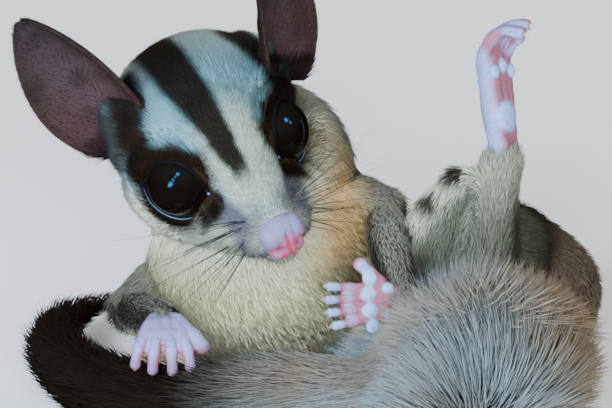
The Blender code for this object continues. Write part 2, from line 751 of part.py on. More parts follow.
def main():
    """Build every part of the body, each clear of the room that those before it take up."""
    rooms = []

    def fit(obj):
        rest_on_floor(obj)
        room = room_of(obj)
        trim(obj, rooms)
        rooms.append(room)
        return obj

    for side_name, side in SIDES.items():
        bm = bmesh.new()
        add_ball(bm, eye_centre(side), (EYEBALL_RADIUS,) * 3, frame_along(eye_axis(side)), 18, 10)
        finish(fit(mesh_object("eye_" + side_name, bm)), "eye_black")

    nose = fuse("nose", build_nose, 0.3, 5)
    carve_nose(nose)
    finish(fit(thin_out(nose, 330)), "pink_skin")

    head = fuse("head", build_head, 0.5, 8)
    carve_face(head)
    finish(fit(thin_out(head, 1500)), "cream_fur")

    for side_name in SIDES:
        finish(fit(make_ear(side_name)), "ear_skin")

    trunk = fit(thin_out(fuse("trunk", build_trunk, 1.0, 12), 1200))
    discs = (
        ((-10.0, 15.6, 33.0), (0.52, 0.48, -0.70), 40.0),
        ((4.5, 15.0, 16.0), (0.90, 0.05, -0.43), 24.0),
        ((19.0, 16.0, 13.2), (0.98, 0.18, 0.0), 24.0),
    )
    seeds = {
        "neck": (-11.0, 18.0, 38.0),
        "chest": (-7.0, 14.0, 22.0),
        "belly": (12.0, 14.5, 13.5),
        "hips": (28.0, 17.0, 13.0),
    }
    blades = [disc_cutter(*disc) for disc in discs]
    for name, piece in part_by(trunk, blades, seeds).items():
        finish(piece, "grey_fur" if name == "hips" else "cream_fur")

    for side_name in SIDES:
        arm = LIMBS["arm_" + side_name]
        leg = LIMBS["leg_" + side_name]
        limbs = (
            ("upper_arm_", lambda bm: build_upper(bm, arm, 5.0), 260),
            ("forearm_", lambda bm: build_lower(bm, arm, 3.1, 2.3), 240),
            ("thigh_", lambda bm: build_upper(bm, leg, 7.4), 320),
            ("shin_", lambda bm: build_lower(bm, leg, 5.2, 3.3), 300),
        )
        for name, build, triangles in limbs:
            finish(fit(thin_out(fuse(name + side_name, build, 0.6, 6), triangles)), "grey_fur")
        for name in ("hand_" + side_name, "foot_" + side_name):
            paw = fuse(name, lambda bm: build_paw(bm, PAWS[name]), 0.28, 3)
            finish(fit(thin_out(paw, 520)), "pink_skin")

    build_tail(rooms)
    for name, build in (("membrane_left", build_membrane_left), ("membrane_right", build_membrane_right)):
        finish(fit(thin_out(fuse(name, build, 0.6, 5), 320)), "dark_fur")
    for room in rooms:
        bpy.data.objects.remove(room)


for old in list(bpy.data.objects):
    bpy.data.objects.remove(old)

glider = bpy.data.collections.new("sugar_glider")
bpy.context.scene.collection.children.link(glider)
cutters = bpy.data.collections.new("cutters")
bpy.context.scene.collection.children.link(cutters)
floor_shift = Vector((-FLOOR_CENTRE[0], -FLOOR_CENTRE[1], 0.0))

main()
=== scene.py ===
"""A sugar glider at life size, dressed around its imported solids: skin, coat, eyes, ears, paws and whiskers.

The tables repeat the places that the solids were made from. Their lengths are millimetres above the floor,
with the picture's right as +X and the viewer at -Y, and at() turns them into metres. The face and its
markings are laid out in the head's own frame: forward along the muzzle, up and left, in millimetres too.
"""
import math
import random

import bmesh
import bpy
import numpy as np
from mathutils import Matrix, Vector
from mathutils.bvhtree import BVHTree


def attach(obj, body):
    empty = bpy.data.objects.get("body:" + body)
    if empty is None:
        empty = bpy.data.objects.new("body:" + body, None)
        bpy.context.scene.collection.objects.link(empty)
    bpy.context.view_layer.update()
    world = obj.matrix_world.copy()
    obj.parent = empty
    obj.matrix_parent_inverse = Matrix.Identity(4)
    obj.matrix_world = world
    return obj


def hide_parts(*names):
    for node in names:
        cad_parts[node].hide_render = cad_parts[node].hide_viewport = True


bl_info = {
    "name": "Sugar glider",
    "version": (1, 0, 0),
    "blender": (4, 5, 0),
    "location": "View3D > Sidebar > Glider",
    "description": "Dresses the solids of a sugar glider with skin, fur, eyes and whiskers",
    "category": "Object",
}

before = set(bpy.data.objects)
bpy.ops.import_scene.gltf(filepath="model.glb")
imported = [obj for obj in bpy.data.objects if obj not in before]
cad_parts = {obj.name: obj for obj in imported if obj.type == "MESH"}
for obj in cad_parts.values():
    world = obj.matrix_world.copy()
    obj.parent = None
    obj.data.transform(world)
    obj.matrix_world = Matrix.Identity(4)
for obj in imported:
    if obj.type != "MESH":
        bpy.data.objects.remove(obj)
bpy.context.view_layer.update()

MM = 0.001
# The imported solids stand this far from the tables' places
SHIFT = np.array((-0.7, -0.35, 0.0))
SIDES = {"left": 1.0, "right": -1.0}

# The head's own frame: forward along the skull, up through the crown, left to its left ear
EYE_MIDPOINT = np.array((-10.4, 2.6, 38.5))
HEAD_FORWARD = np.array(Vector((0.43, -0.897, -0.078)).normalized())
HEAD_LEFT = np.array(Vector(np.cross((-0.26, -0.209, 0.947), HEAD_FORWARD)).normalized())
HEAD_UP = np.cross(HEAD_FORWARD, HEAD_LEFT)
HEAD_AXES = np.array((HEAD_FORWARD, HEAD_UP, HEAD_LEFT)).T

EYE_RADIUS = 5.3
EYE_FORWARD, EYE_UP, EYE_SPREAD = -2.2, -0.2, 7.3
EYE_OPENING = math.radians(57.0)
NOSE_CORNER, BACK_CORNER = math.radians(8.0), math.radians(3.0)
MOUTH_START, MOUTH_LENGTH, MOUTH_DEPTH = 3.2, 9.0, -8.9
EAR_LENGTH, EAR_WIDTH, EAR_WALL = 23.0, 15.0, 0.55
EAR_ROOTS = {"left": (-8.6, 3.6, 13.4), "right": (-9.6, 6.4, -11.2)}
# Lids reach this far from an eye's centre
LID_REACH = 6.6
# Under these heights the body and the tail press on the floor and carry no coat
UNDERSIDE, TAIL_UNDERSIDE = 0.9, 0.4

# Radii of a limb's upper part, lower part and end
LIMB_RADII = {"arm": (5.0, 3.1, 2.3), "leg": (7.4, 5.2, 3.3)}
LIMBS = {
    "arm_left": {"root": (-4.0, 19.0, 27.0), "bend": (11.2, 12.0, 26.6), "end": (13.4, -7.4, 22.4)},
    "arm_right": {"root": (-13.0, 15.0, 19.0), "bend": (-26.0, 9.0, 11.5), "end": (-20.5, -7.8, 18.6)},
    "leg_left": {"root": (27.0, 19.0, 15.0), "bend": (24.5, 3.5, 13.6), "end": (28.6, 15.6, 31.0)},
    "leg_right": {"root": (28.0, 17.0, 9.0), "bend": (12.0, 3.5, 7.0), "end": (21.5, -2.4, 5.0)},
}

# Digits: place across the palm, spread, length, radius, turn of the curl and claw length
HAND_DIGITS = (
    (-1.10, -0.80, 4.0, 1.12, 0.5, 0.0),
    (-0.80, -0.12, 6.2, 0.92, 0.6, 2.0),
    (-0.28, -0.02, 6.8, 0.92, 0.7, 2.0),
    (0.30, 0.04, 6.6, 0.92, 0.7, 2.0),
    (0.84, 0.14, 5.8, 0.92, 0.6, 1.8),
)
GRIP_DIGITS = (
    (-1.10, -0.80, 3.6, 1.30, 0.6, 0.0),
    (-0.95, -0.34, 4.8, 1.12, 1.3, 1.4),
    (-0.32, -0.10, 5.3, 1.12, 1.4, 1.4),
    (0.36, 0.16, 5.1, 1.12, 1.4, 1.4),
    (0.98, 0.42, 4.4, 1.08, 1.3, 1.4),
)
FOOT_DIGITS = (
    (-0.92, -0.10, 5.4, 1.40, 1.3, 0.0),
    (-0.65, -0.12, 7.8, 1.10, 1.3, 1.6),
    (-0.20, -0.03, 9.0, 1.10, 1.6, 1.6),
    (0.30, 0.08, 10.6, 1.20, 1.9, 2.0),
    (0.80, 0.18, 10.2, 1.20, 2.1, 2.0),
)
FLAT_FOOT_DIGITS = tuple((*digit[:2], digit[2] * 0.9, digit[3], 0.25, digit[5]) for digit in FOOT_DIGITS)
# Pads: place along and across the palm, and radius
HAND_PADS = ((0.98, -0.90, 1.2), (1.08, -0.32, 1.2), (1.08, 0.30, 1.2), (0.98, 0.90, 1.15),
             (0.35, -0.5, 0.9), (0.35, 0.5, 0.9))
FOOT_PADS = ((0.46, 0.10, 2.4), (0.94, -0.55, 1.15), (1.0, 0.02, 1.15), (0.94, 0.58, 1.1))

PAWS = {
    "hand_left": {"wrist": (13.0, -9.0, 22.1), "along": (-0.95, -0.12, -0.02), "palm": (-0.1, -0.88, 0.45),
                  "digits": HAND_DIGITS, "pads": HAND_PADS, "length": 4.0, "width": 3.8, "thickness": 1.8},
    "hand_right": {"wrist": (-20.3, -9.4, 19.2), "along": (0.05, -0.93, -0.22), "palm": (0.0, -0.25, -0.97),
                   "digits": GRIP_DIGITS, "pads": HAND_PADS, "length": 3.6, "width": 4.1, "thickness": 1.8},
    "foot_left": {"wrist": (29.5, 16.6, 32.4), "along": (-0.12, 0.42, 0.90), "palm": (0.79, -0.60, 0.15),
                  "digits": FOOT_DIGITS, "pads": FOOT_PADS, "length": 14.0, "width": 3.7, "thickness": 2.4},
    "foot_right": {"wrist": (23.0, -1.6, 3.6), "along": (0.90, 0.42, -0.06), "palm": (0.0, 0.0, -1.0),
                   "digits": FLAT_FOOT_DIGITS, "pads": FOOT_PADS, "length": 10.0, "width": 3.3,
                   "thickness": 2.1},
}
# A palm longer than this is a foot's sole
FOOT_LENGTH = 9.0

# The tail's middle line from the rump to its tip, with the radius of its brush at each point
TAIL_LINE = (
    ((31.0, 24.0, 13.5), 7.0),
    ((38.0, 16.0, 13.0), 5.4),
    ((38.6, 5.0, 13.0), 5.2),
    ((34.0, -6.0, 12.6), 7.6),
    ((25.5, -14.5, 13.2), 12.6),
    ((14.5, -18.6, 12.6), 12.6),
    ((3.0, -19.0, 10.4), 10.2),
    ((-9.0, -17.4, 8.6), 8.4),
    ((-20.5, -14.0, 7.6), 7.3),
    ((-30.5, -6.5, 6.8), 6.6),
    ((-36.5, 4.0, 6.0), 5.8),
    ((-37.5, 14.5, 5.2), 4.4),
    ((-34.5, 22.5, 4.2), 3.0),
    ((-30.0, 28.2, 3.4), 1.0),
)
# Share of the full brush's radius that the tail's skin fills
TAIL_CORE_SHARE = 0.46

# Middle line of the trunk from the nape to the rump
SPINE = ((-18.0, 17.0, 37.0), (-14.0, 17.5, 33.0), (-9.0, 17.0, 28.0), (-6.0, 15.0, 21.0), (3.0, 15.0, 14.2),
         (12.0, 14.5, 11.9), (20.0, 16.0, 11.8), (27.0, 18.0, 11.6), (33.0, 20.0, 12.0))

# Middle of the bend where the brush fans out
TAIL_FAN = np.array((27.0, -13.0, 13.0))

# Shares of the tail's length where its coat passes from one piece to the next
BRUSH_START, BRUSH_BEND, DARK_START = (0.18, 0.19), (0.34, 0.35), (0.52, 0.54)

PARTS = ("head", "trunk", "arm", "leg", "membrane", "tail")

# Depth of the coat over the skin, and the length and lift in degrees of its hairs, for each part
COAT = {
    "head": {"depth": 0.55, "length": 2.0, "lift": 19.0},
    "trunk": {"depth": 1.4, "length": 4.6, "lift": 15.0},
    "arm": {"depth": 0.7, "length": 2.6, "lift": 18.0},
    "leg": {"depth": 0.9, "length": 3.2, "lift": 18.0},
    "membrane": {"depth": 1.2, "length": 2.9, "lift": 15.0},
    "tail": {"depth": 0.3, "length": 9.0, "lift": 24.0},
}
# A hair of length 1 is this many times as long as it is wide, so bends are given in widths
HAIR_ASPECT = 14.0
HAIR_SIDES, HAIR_FLATNESS, HAIR_TAPER, HAIR_TIP = 3, 0.55, 1.6, 0.06
# Hairs that would pass through the floor end at uneven heights just above it
FRINGE_LOW, FRINGE_HIGH, FRINGE_WAVE = 0.0001, 0.0004, 9000.0

# Points that are measured against the clay in one go
BATCH = 3000
# Fineness of the clay's balls from a radius in millimetres upwards
BALL_LEVELS = ((6.0, 4), (1.6, 3), (0.0, 2))

# The camera: its height over the horizon, its distance, what it looks at, and the picture's width
CAMERA_HEIGHT = math.radians(25.0)
CAMERA_DISTANCE = 400.0
CAMERA_TARGET = (0.0, 0.0, 33.0)
PICTURE_WIDTH, PIXELS_TO_MM = 612.0, 7.0
SENSOR_WIDTH = 36.0

# Soft lights: place and target in metres, edge, power and tone
LIGHTS = {
    "key": ((-0.30, -0.28, 0.32), (0, 0, 0.03), 0.20, 5.3, (0.70, 0.81, 1.0)),
    "front": ((0.04, -0.51, 0.17), (0, 0, 0.02), 0.34, 5.8, (0.80, 0.88, 1.0)),
    "fill": ((0.42, 0.02, 0.22), (0, 0, 0.03), 0.30, 0.7, (1.0, 0.96, 0.9)),
    "back": ((0.10, 0.55, 0.16), (0, 0, 0.02), 0.34, 4.0, (1.0, 0.97, 0.94)),
}
# Window panes that only reflections show: place, edge and power
PANES = (
    ((-0.066, -0.229, 0.302), 0.070, 0.34), ((-0.120, -0.262, 0.252), 0.040, 0.12),
    ((-0.160, -0.282, 0.185), 0.050, 0.18), ((-0.205, -0.295, 0.100), 0.085, 0.55),
    ((-0.230, -0.283, 0.050), 0.060, 0.26), ((0.186, -0.085, 0.322), 0.075, 0.42),
    ((0.262, -0.068, 0.255), 0.040, 0.12),
)
PANE_TARGET, PANE_POWER, PANE_TONE = (0, 0, 0.03), 1.8, (0.02, 0.36, 1.0)

# Whiskers: root forward, up and aside on the muzzle, the way they leave, their length and droop
WHISKERS = (
    ((9.6, -3.6, 3.4), (-0.10, 0.30, 1.0), 15.0, 1.0),
    ((8.6, -3.9, 4.0), (-0.25, 0.12, 1.0), 17.0, 2.0),
    ((9.8, -4.7, 4.0), (0.10, -0.05, 1.0), 14.0, 2.0),
    ((8.8, -5.0, 4.6), (-0.12, -0.12, 1.0), 19.0, 3.0),
    ((7.8, -5.2, 4.9), (-0.35, -0.05, 1.0), 20.0, 3.0),
    ((9.9, -5.8, 4.1), (0.15, -0.35, 1.0), 13.0, 2.5),
    ((8.9, -6.1, 4.8), (-0.05, -0.42, 1.0), 17.0, 3.0),
    ((7.9, -6.3, 5.2), (-0.30, -0.30, 1.0), 20.0, 3.5),
    ((9.8, -6.9, 3.9), (0.10, -0.75, 1.0), 13.0, 2.0),
    ((8.8, -7.2, 4.4), (-0.10, -0.80, 1.0), 15.0, 2.5),
    ((7.7, -7.3, 4.8), (-0.35, -0.60, 1.0), 17.0, 3.0),
    ((2.4, 5.2, 5.6), (0.35, 1.0, 0.35), 7.0, -1.0),
    ((1.4, 5.6, 6.6), (0.20, 1.0, 0.55), 8.5, -1.0),
)


def srgb(red, green, blue):
    """Linear colour of three screen values from 0 to 255."""
    return tuple((value / 255) ** 2.2 for value in (red, green, blue))


def length_setting(name, description, value):
    """Length property with its name, description and default in metres."""
    return bpy.props.FloatProperty(name=name, description=description, default=value, subtype="DISTANCE",
                                   unit="LENGTH")


class GliderSizes(bpy.types.PropertyGroup):
    """Sizes that a user would change."""
    skin_grain: length_setting("Skin grain", "Edge of the skin's facets", 0.00048)
    paw_grain: length_setting("Paw grain", "Edge of the paws' facets", 0.00021)
    nose_grain: length_setting("Nose grain", "Edge of the nose pad's facets", 0.00017)
    hair_width: length_setting("Hair width", "Width of a body hair", 0.00016)
    face_hair_width: length_setting("Face hair width", "Width of a face hair", 0.00016)
    tail_hair_width: length_setting("Tail hair width", "Width of a tail lock", 0.00014)
    whisker_width: length_setting("Whisker width", "Thickness of a whisker's root", 0.00013)
    coat_density: bpy.props.FloatProperty(name="Coat density", description="Share of the full coat",
                                          default=1.0, min=0.05, max=1.2, subtype="FACTOR")
    seed: bpy.props.IntProperty(name="Seed", description="Seed of the hairs and whiskers", default=11)


def colour(name, description, value):
    """Colour property with its name, description and default."""
    return bpy.props.FloatVectorProperty(name=name, description=description, subtype="COLOR",
                                         size=3, min=0.0, max=1.0, default=srgb(*value))


class GliderColours(bpy.types.PropertyGroup):
    """Colours that a user would change."""
    forehead: colour("Forehead", "White of the forehead and brows", (144, 172, 172))
    brow: colour("Brow", "Blue-green white of the brows", (128, 176, 182))
    # Belly: the lower chest's own cream, painted paler still as painted light where the head and tail shade
    # it
    belly: colour("Belly", "Pale cream of the lower chest and belly", (240, 232, 202))
    cheek: colour("Cheek", "Off-white of the cheeks and throat", (212, 218, 192))
    chest: colour("Chest", "Cream of the chest and belly", (210, 206, 156))
    flank: colour("Flank", "Grey of the flanks and limbs", (120, 120, 106))
    leg: colour("Leg", "Greenish cream of the raised leg", (118, 124, 106))
    back: colour("Back", "Brown-grey of the back", (84, 74, 60))
    # Stripe: the dark brown of the real stripes and eye rings, also laid as painted shade on the hips, the
    # tail's root, the sides of the arms and legs and along the neck's edge
    stripe: colour("Stripe", "Dark brown of the stripes and eye rings", (40, 32, 24))
    muzzle: colour("Muzzle", "Grey-brown of the muzzle", (104, 104, 118))
    tail: colour("Tail", "Blue-grey of the brush", (118, 131, 132))
    tail_edge: colour("Tail edge", "Beige of the brush's upper side", (128, 110, 86))
    tail_end: colour("Tail end", "Near-black of the tail's far end", (36, 30, 25))
    bare: colour("Bare skin", "Lavender pink of fingers and toes", (114, 95, 124))
    # Pads: pale pads whose blue-white is partly their own pale skin and partly painted highlight, also laid
    # as painted highlight on the paws' backs, the feet's sides, the knuckles and the nose's top
    pad: colour("Pads", "Pale blue-pink of the pads", (140, 172, 218))
    crease: colour("Creases", "Red between the pads", (156, 88, 94))
    nose: colour("Nose", "Lavender pink of the nose pad", (112, 97, 126))
    # Nose groove: hot pink of the nostrils and groove, also laid as painted shade on the pad's left lobe
    nose_groove: colour("Nose groove", "Hot pink of the nostrils and groove", (190, 70, 94))
    # Ear: the ears' own dark mauve brown, painted darker still as painted shade
    ear: colour("Ear", "Mauve brown of the ears", (50, 42, 38))
    # Lid: dark brown of the eyelids and the ears' tips and feet, also laid as painted shade in the nostrils
    lid: colour("Lid", "Dark brown of the eyelids", (22, 16, 14))
    amber: colour("Amber", "Warm yellow of the chest's side", (226, 174, 88))
    claw: colour("Claws", "Pale horn of the claws", (196, 178, 160))
    eye: colour("Eyes", "Near-black of the eyeballs", (20, 17, 14))
    # Wet lid: pale blue-grey of the lower lids' wet line and corner glints, a painted reflection of cool
    # light
    wet_lid: colour("Wet lid", "Blue-grey of the lower lids' wet line", (78, 104, 138))
    whisker: colour("Whiskers", "Dark grey of the whiskers", (40, 36, 34))


def at(point):
    """Place in metres of a point in the tables' millimetres."""
    return (np.asarray(point, float) + SHIFT) * MM


def millimetres(points):
    """The tables' millimetres of places in metres."""
    return np.asarray(points, float) / MM - SHIFT


def head_point(forward, up, left):
    """Place in millimetres of a point in the head's own frame."""
    return EYE_MIDPOINT + HEAD_FORWARD * forward + HEAD_UP * up + HEAD_LEFT * left


def smooth(value, low, high):
    """Soft step from 0 at low to 1 at high."""
    share = np.clip((value - low) / (high - low), 0.0, 1.0)
    return share * share * (3 - 2 * share)


def ebb(value, low, high):
    """Soft step from 1 at low to 0 at high."""
    return 1.0 - smooth(value, low, high)


def hump(away, spread):
    """Bell that is 1 where away is 0 and falls off past the spread."""
    return np.exp(-(away / spread) ** 2)


def unit(vectors):
    """Vectors brought to length 1."""
    return vectors / np.maximum(np.linalg.norm(vectors, axis=-1, keepdims=True), 1e-9)


def spline(points, steps):
    """Smooth line through points of any number of values, steps places to each span."""
    points = np.asarray(points, float)
    last = len(points) - 1
    line = []
    for index in range(last):
        before, start = points[max(index - 1, 0)], points[index]
        end, after = points[index + 1], points[min(index + 2, last)]
        for step in range(steps):
            t = step / steps
            line.append(0.5 * (2 * start + (end - before) * t
                               + (2 * before - 5 * start + 4 * end - after) * t * t
                               + (3 * start - before - 3 * end + after) * t ** 3))
    line.append(points[-1])
    return np.array(line)


def new_object(name, mesh):
    """Object for a mesh, linked to the scene."""
    obj = bpy.data.objects.new(name, mesh)
    bpy.context.scene.collection.objects.link(obj)
    return obj


def bake(obj):
    """Replace an object's mesh by what its modifiers make of it."""
    depsgraph = bpy.context.evaluated_depsgraph_get()
    made = bpy.data.meshes.new_from_object(obj.evaluated_get(depsgraph))
    obj.modifiers.clear()
    spent = obj.data
    obj.data = made
    made.name = obj.name
    bpy.data.meshes.remove(spent)
    return obj


def read_places(obj):
    """Vertex places of an object as an array."""
    places = np.empty(len(obj.data.vertices) * 3)
    obj.data.vertices.foreach_get("co", places)
    return places.reshape(-1, 3)


def read_normals(obj):
    """Vertex normals of an object as an array."""
    normals = np.empty(len(obj.data.vertices) * 3)
    obj.data.vertices.foreach_get("normal", normals)
    return normals.reshape(-1, 3)


def write_places(obj, places):
    """Move an object's vertices."""
    obj.data.vertices.foreach_set("co", places.ravel())
    obj.data.update()


def flatten_on_floor(obj):
    """Bring everything that is below the floor up to it."""
    places = read_places(obj)
    places[:, 2] = np.maximum(places[:, 2], 0.0)
    write_places(obj, places)


def write_attribute(obj, name, values, kind):
    """Store one value for each vertex under a name."""
    attribute = obj.data.attributes.new(name, kind, "POINT")
    field = {"FLOAT": "value", "FLOAT_VECTOR": "vector", "FLOAT_COLOR": "color"}[kind]
    attribute.data.foreach_set(field, np.ascontiguousarray(values, dtype=np.float32).ravel())


def write_colour(obj, colours):
    """Store the markings of a piece."""
    write_attribute(obj, "fur_colour", np.hstack((colours, np.ones((len(colours), 1)))), "FLOAT_COLOR")


def ball_template(level):
    """Corners and faces of a unit ball."""
    bm = bmesh.new()
    bmesh.ops.create_icosphere(bm, subdivisions=level, radius=1.0)
    corners = np.array([vertex.co for vertex in bm.verts])
    faces = np.array([[vertex.index for vertex in face.verts] for face in bm.faces])
    bm.free()
    return corners, faces


class Clay:
    """Balls that are pressed together into a body, each with its part and the way its fur lies."""

    def __init__(self):
        self.centres, self.radii, self.turns, self.parts, self.flows = [], [], [], [], []

    def ball(self, part, centre, radii, flow=(0, 0, 0), turn=None):
        """Add an ellipsoid."""
        self.centres.append(np.asarray(centre, float))
        self.radii.append(np.asarray(radii, float))
        self.turns.append(np.eye(3) if turn is None else turn)
        self.parts.append(part)
        self.flows.append(np.asarray(flow, float))

    def trail(self, part, stations, steps=6, less=0.0):
        """Add balls close together along a smooth line that tapers."""
        packed = [(*point, radius - less) for point, radius in stations]
        line = spline(packed, steps)
        ways = np.gradient(line[:, :3], axis=0)
        for spot, way in zip(line, unit(ways)):
            self.ball(part, spot[:3], (spot[3],) * 3, way)

    def press(self, name, grain, rounds):
        """Fuse the balls into one closed mesh."""
        templates = [(least, ball_template(level)) for least, level in BALL_LEVELS]
        corners, faces, count = [], [], 0
        for centre, radii, turn in zip(self.centres, self.radii, self.turns):
            points, sides = next(template for least, template in templates if radii.mean() > least)
            corners.append(at((points * radii) @ turn.T + centre))
            faces.append(sides + count)
            count += len(points)
        mesh = bpy.data.meshes.new(name)
        mesh.from_pydata(np.concatenate(corners), [], np.concatenate(faces))
        obj = new_object(name, mesh)
        fuse = obj.modifiers.new("Fuse", "REMESH")
        fuse.mode = "VOXEL"
        fuse.voxel_size = grain
        soften = obj.modifiers.new("Soften", "SMOOTH")
        soften.factor = 0.5
        soften.iterations = rounds
        bake(obj)
        obj.data.shade_smooth()
        return keep_largest(obj)

    def read(self, points, reach=0.8):
        """Share of each part at every point, and the way that the fur lies there."""
        centres, radii = np.array(self.centres), np.array(self.radii)
        turns, flows = np.array(self.turns), np.array(self.flows)
        sizes = radii.mean(axis=1)
        belongs = np.array([[part == name for name in PARTS] for part in self.parts], float)
        shares, ways = [], []
        for start in range(0, len(points), BATCH):
            away = points[start:start + BATCH, None, :] - centres[None]
            local = np.einsum("nmi,mij->nmj", away, turns) / radii
            gap = (np.linalg.norm(local, axis=2) - 1.0) * sizes
            weight = np.exp(-np.maximum(gap - gap.min(axis=1, keepdims=True), 0.0) / reach)
            weight /= weight.sum(axis=1, keepdims=True)
            shares.append(weight @ belongs)
            ways.append(weight @ flows)
        return np.concatenate(shares), np.concatenate(ways)


def keep_largest(obj):
    """Keep only the largest closed surface of a mesh."""
    count = len(obj.data.vertices)
    edges = np.empty(len(obj.data.edges) * 2, dtype=np.int64)
    obj.data.edges.foreach_get("vertices", edges)
    edges = edges.reshape(-1, 2)
    label = np.arange(count)
    while True:
        low = np.minimum(label[edges[:, 0]], label[edges[:, 1]])
        before = label.copy()
        np.minimum.at(label, edges[:, 0], low)
        np.minimum.at(label, edges[:, 1], low)
        label = label[label]
        if (label == before).all():
            break
    names, sizes = np.unique(label, return_counts=True)
    if len(names) > 1:
        keep = label == names[sizes.argmax()]
        bm = bmesh.new()
        bm.from_mesh(obj.data)
        spare = [vertex for vertex, kept in zip(bm.verts, keep) if not kept]
        bmesh.ops.delete(bm, geom=spare, context="VERTS")
        bm.to_mesh(obj.data)
        bm.free()
    return obj


def eye_centre(side):
    """Centre of an eyeball, in millimetres."""
    return head_point(EYE_FORWARD, EYE_UP, EYE_SPREAD * side)


def eye_frame(side):
    """Axis of an eye, its way towards the nose and its way up."""
    axis = unit(HEAD_AXES @ np.array((0.68, 0.12, 0.72 * side)))
    nose = HEAD_AXES @ np.array((1.0, -0.16, -0.55 * side))
    nose = unit(nose - axis * nose.dot(axis))
    rise = unit(np.cross(axis, nose))
    return axis, nose, rise * np.sign(rise.dot(HEAD_UP))


def opening(turn):
    """Half angle of the eye's opening, pointed towards the nose and a little at the back."""
    from_nose = (turn + math.pi) % (2 * math.pi) - math.pi
    from_back = turn % (2 * math.pi) - math.pi
    return EYE_OPENING + NOSE_CORNER * hump(from_nose, 0.34) + BACK_CORNER * hump(from_back, 0.5)


def round_eye(points, side):
    """Distance of points from an eye's centre, the ways to them, their angles off its axis, and the rim's."""
    axis, nose, rise = eye_frame(side)
    away = points - eye_centre(side)
    distance = np.linalg.norm(away, axis=1)
    way = away / distance[:, None]
    angle = np.arccos(np.clip(way @ axis, -1, 1))
    return distance, way, angle, opening(np.arctan2(way @ rise, way @ nose))


def mouth_height(forward):
    """Height of the mouth's line at a place along the muzzle."""
    return MOUTH_DEPTH + 0.5 * np.cos(math.pi * (forward - MOUTH_START) / MOUTH_LENGTH)


def head_clay(clay):
    """Skull, cheeks, muzzle and jaw."""
    less = COAT["head"]["depth"]

    def ball(centre, radii):
        clay.ball("head", head_point(*centre), np.array(radii) - less, turn=HEAD_AXES)

    def trail(stations, side, share):
        clay.trail("head", [(head_point(forward, up, left * side), radius)
                            for (forward, up, left), radius in stations], less=less * share)

    ball((-10.0, 1.8, 0), (13.4, 13.2, 14.2))
    ball((-15.0, -1.0, 0), (10.5, 12.0, 12.9))
    trail((((-5.0, 3.0, 0), 9.6), ((1.0, 0.4, 0), 7.0),
           ((6.0, -2.2, 0), 5.1), ((10.4, -4.6, 0), 3.7)), 1, 1.0)
    trail((((-8.0, -7.5, 0), 6.6), ((0.0, -8.2, 0), 4.9),
           ((6.0, -9.2, 0), 3.3), ((10.0, -9.6, 0), 2.2)), 1, 0.7)
    for side in SIDES.values():
        trail((((-9.5, -4.4, 8.0), 6.5), ((-4.0, -4.8, 7.2), 6.4), ((2.0, -5.4, 5.0), 5.2),
               ((6.2, -6.0, 3.7), 4.2), ((9.6, -6.3, 2.6), 3.3)), side, 0.8)
        ball((-10.5, 6.4, 9.0 * side), (5.2, 5.6, 4.6))


def trunk_clay(clay):
    """Shoulders, chest, belly and hips."""
    less = COAT["trunk"]["depth"]
    down = (0.55, -0.1, -0.8)
    clay.ball("trunk", (-7.5, 17.0, 30.0), (15.0 - less,) * 3, down)
    clay.ball("trunk", (-6.0, 12.8, 17.1), (18.0 - less,) * 3, down)
    clay.trail("trunk", (
        ((-6.5, 15.0, 22.0), 16.5), ((3.0, 15.0, 14.2), 15.0), ((12.0, 14.5, 11.9), 13.0),
        ((20.0, 16.0, 11.8), 13.0), ((26.5, 18.0, 11.6), 12.8),
    ), less=less)
    clay.ball("trunk", (0.5, 19.0, 26.0), (8.5 - less,) * 3, down)


def limb_clay(clay):
    """Arms and legs with the wrists and heels."""
    for name, limb in LIMBS.items():
        part = name.split("_")[0]
        upper, lower, end = LIMB_RADII[part]
        root, bend, tip = (np.array(limb[key]) for key in ("root", "bend", "end"))
        less = COAT[part]["depth"] * (0.75 if part == "arm" else 1.0)
        clay.trail(part, ((root, upper * 1.15), ((root + bend) / 2, upper), (bend, upper * 0.72)), less=less)
        clay.trail(part, ((bend, lower * 0.9), (bend + (tip - bend) * 0.35, lower),
                          (bend + (tip - bend) * 0.8, end * 1.1), (tip, end)), less=less * 0.6)
        paw = PAWS[("hand_" if part == "arm" else "foot_") + name.split("_")[1]]
        wrist, along = np.array(paw["wrist"]), unit(np.array(paw["along"]))
        clay.trail(part, ((tip, end), (wrist, paw["thickness"]), (wrist + along * 1.5, 1.3)), less=0.45)


def membrane_clay(clay):
    """Gliding skin: held up at the left, folded on the floor at the right."""
    less = COAT["membrane"]["depth"]
    heel, middle, corner, arm = (26.6, 14.5, 29.0), (22.2, 12.0, 31.6), (17.4, 9.5, 27.8), (14.0, 5.0, 24.8)
    for stations in (
        ((heel, 3.2), (middle, 2.4), (corner, 2.4), (arm, 2.2)),
        ((heel, 3.4), ((23.5, 9.0, 24.0), 3.6), ((22.0, 6.0, 19.0), 3.6)),
        ((middle, 2.8), ((20.0, 9.0, 26.0), 3.6), ((18.5, 6.0, 19.0), 3.8)),
        ((corner, 2.6), ((16.4, 7.5, 24.0), 3.4), ((15.0, 5.0, 18.5), 3.6)),
        ((arm, 2.2), ((13.0, 4.5, 21.5), 2.8), ((12.5, 4.5, 18.0), 3.0)),
        (((-24.0, 3.0, 11.0), 2.2), ((-21.0, -1.0, 6.0), 2.9), ((-12.0, -3.5, 3.2), 3.2),
         ((-2.0, -2.5, 3.0), 3.2), ((6.0, -0.5, 3.2), 3.0), ((11.0, 1.0, 5.0), 2.2)),
    ):
        clay.trail("membrane", stations, less=less)


def core_share(index):
    """Share of the brush that the tail's skin fills: all of it at the rump, less than half further on."""
    return 1.0 + (TAIL_CORE_SHARE - 1.0) * min(1.0, max(0.0, (index - 1.0) / 1.6))


def tail_clay(clay):
    """Core of the tail."""
    less = COAT["tail"]["depth"]
    clay.trail("tail", [(place, max(radius * core_share(index) - less, 0.7))
                        for index, (place, radius) in enumerate(TAIL_LINE)])


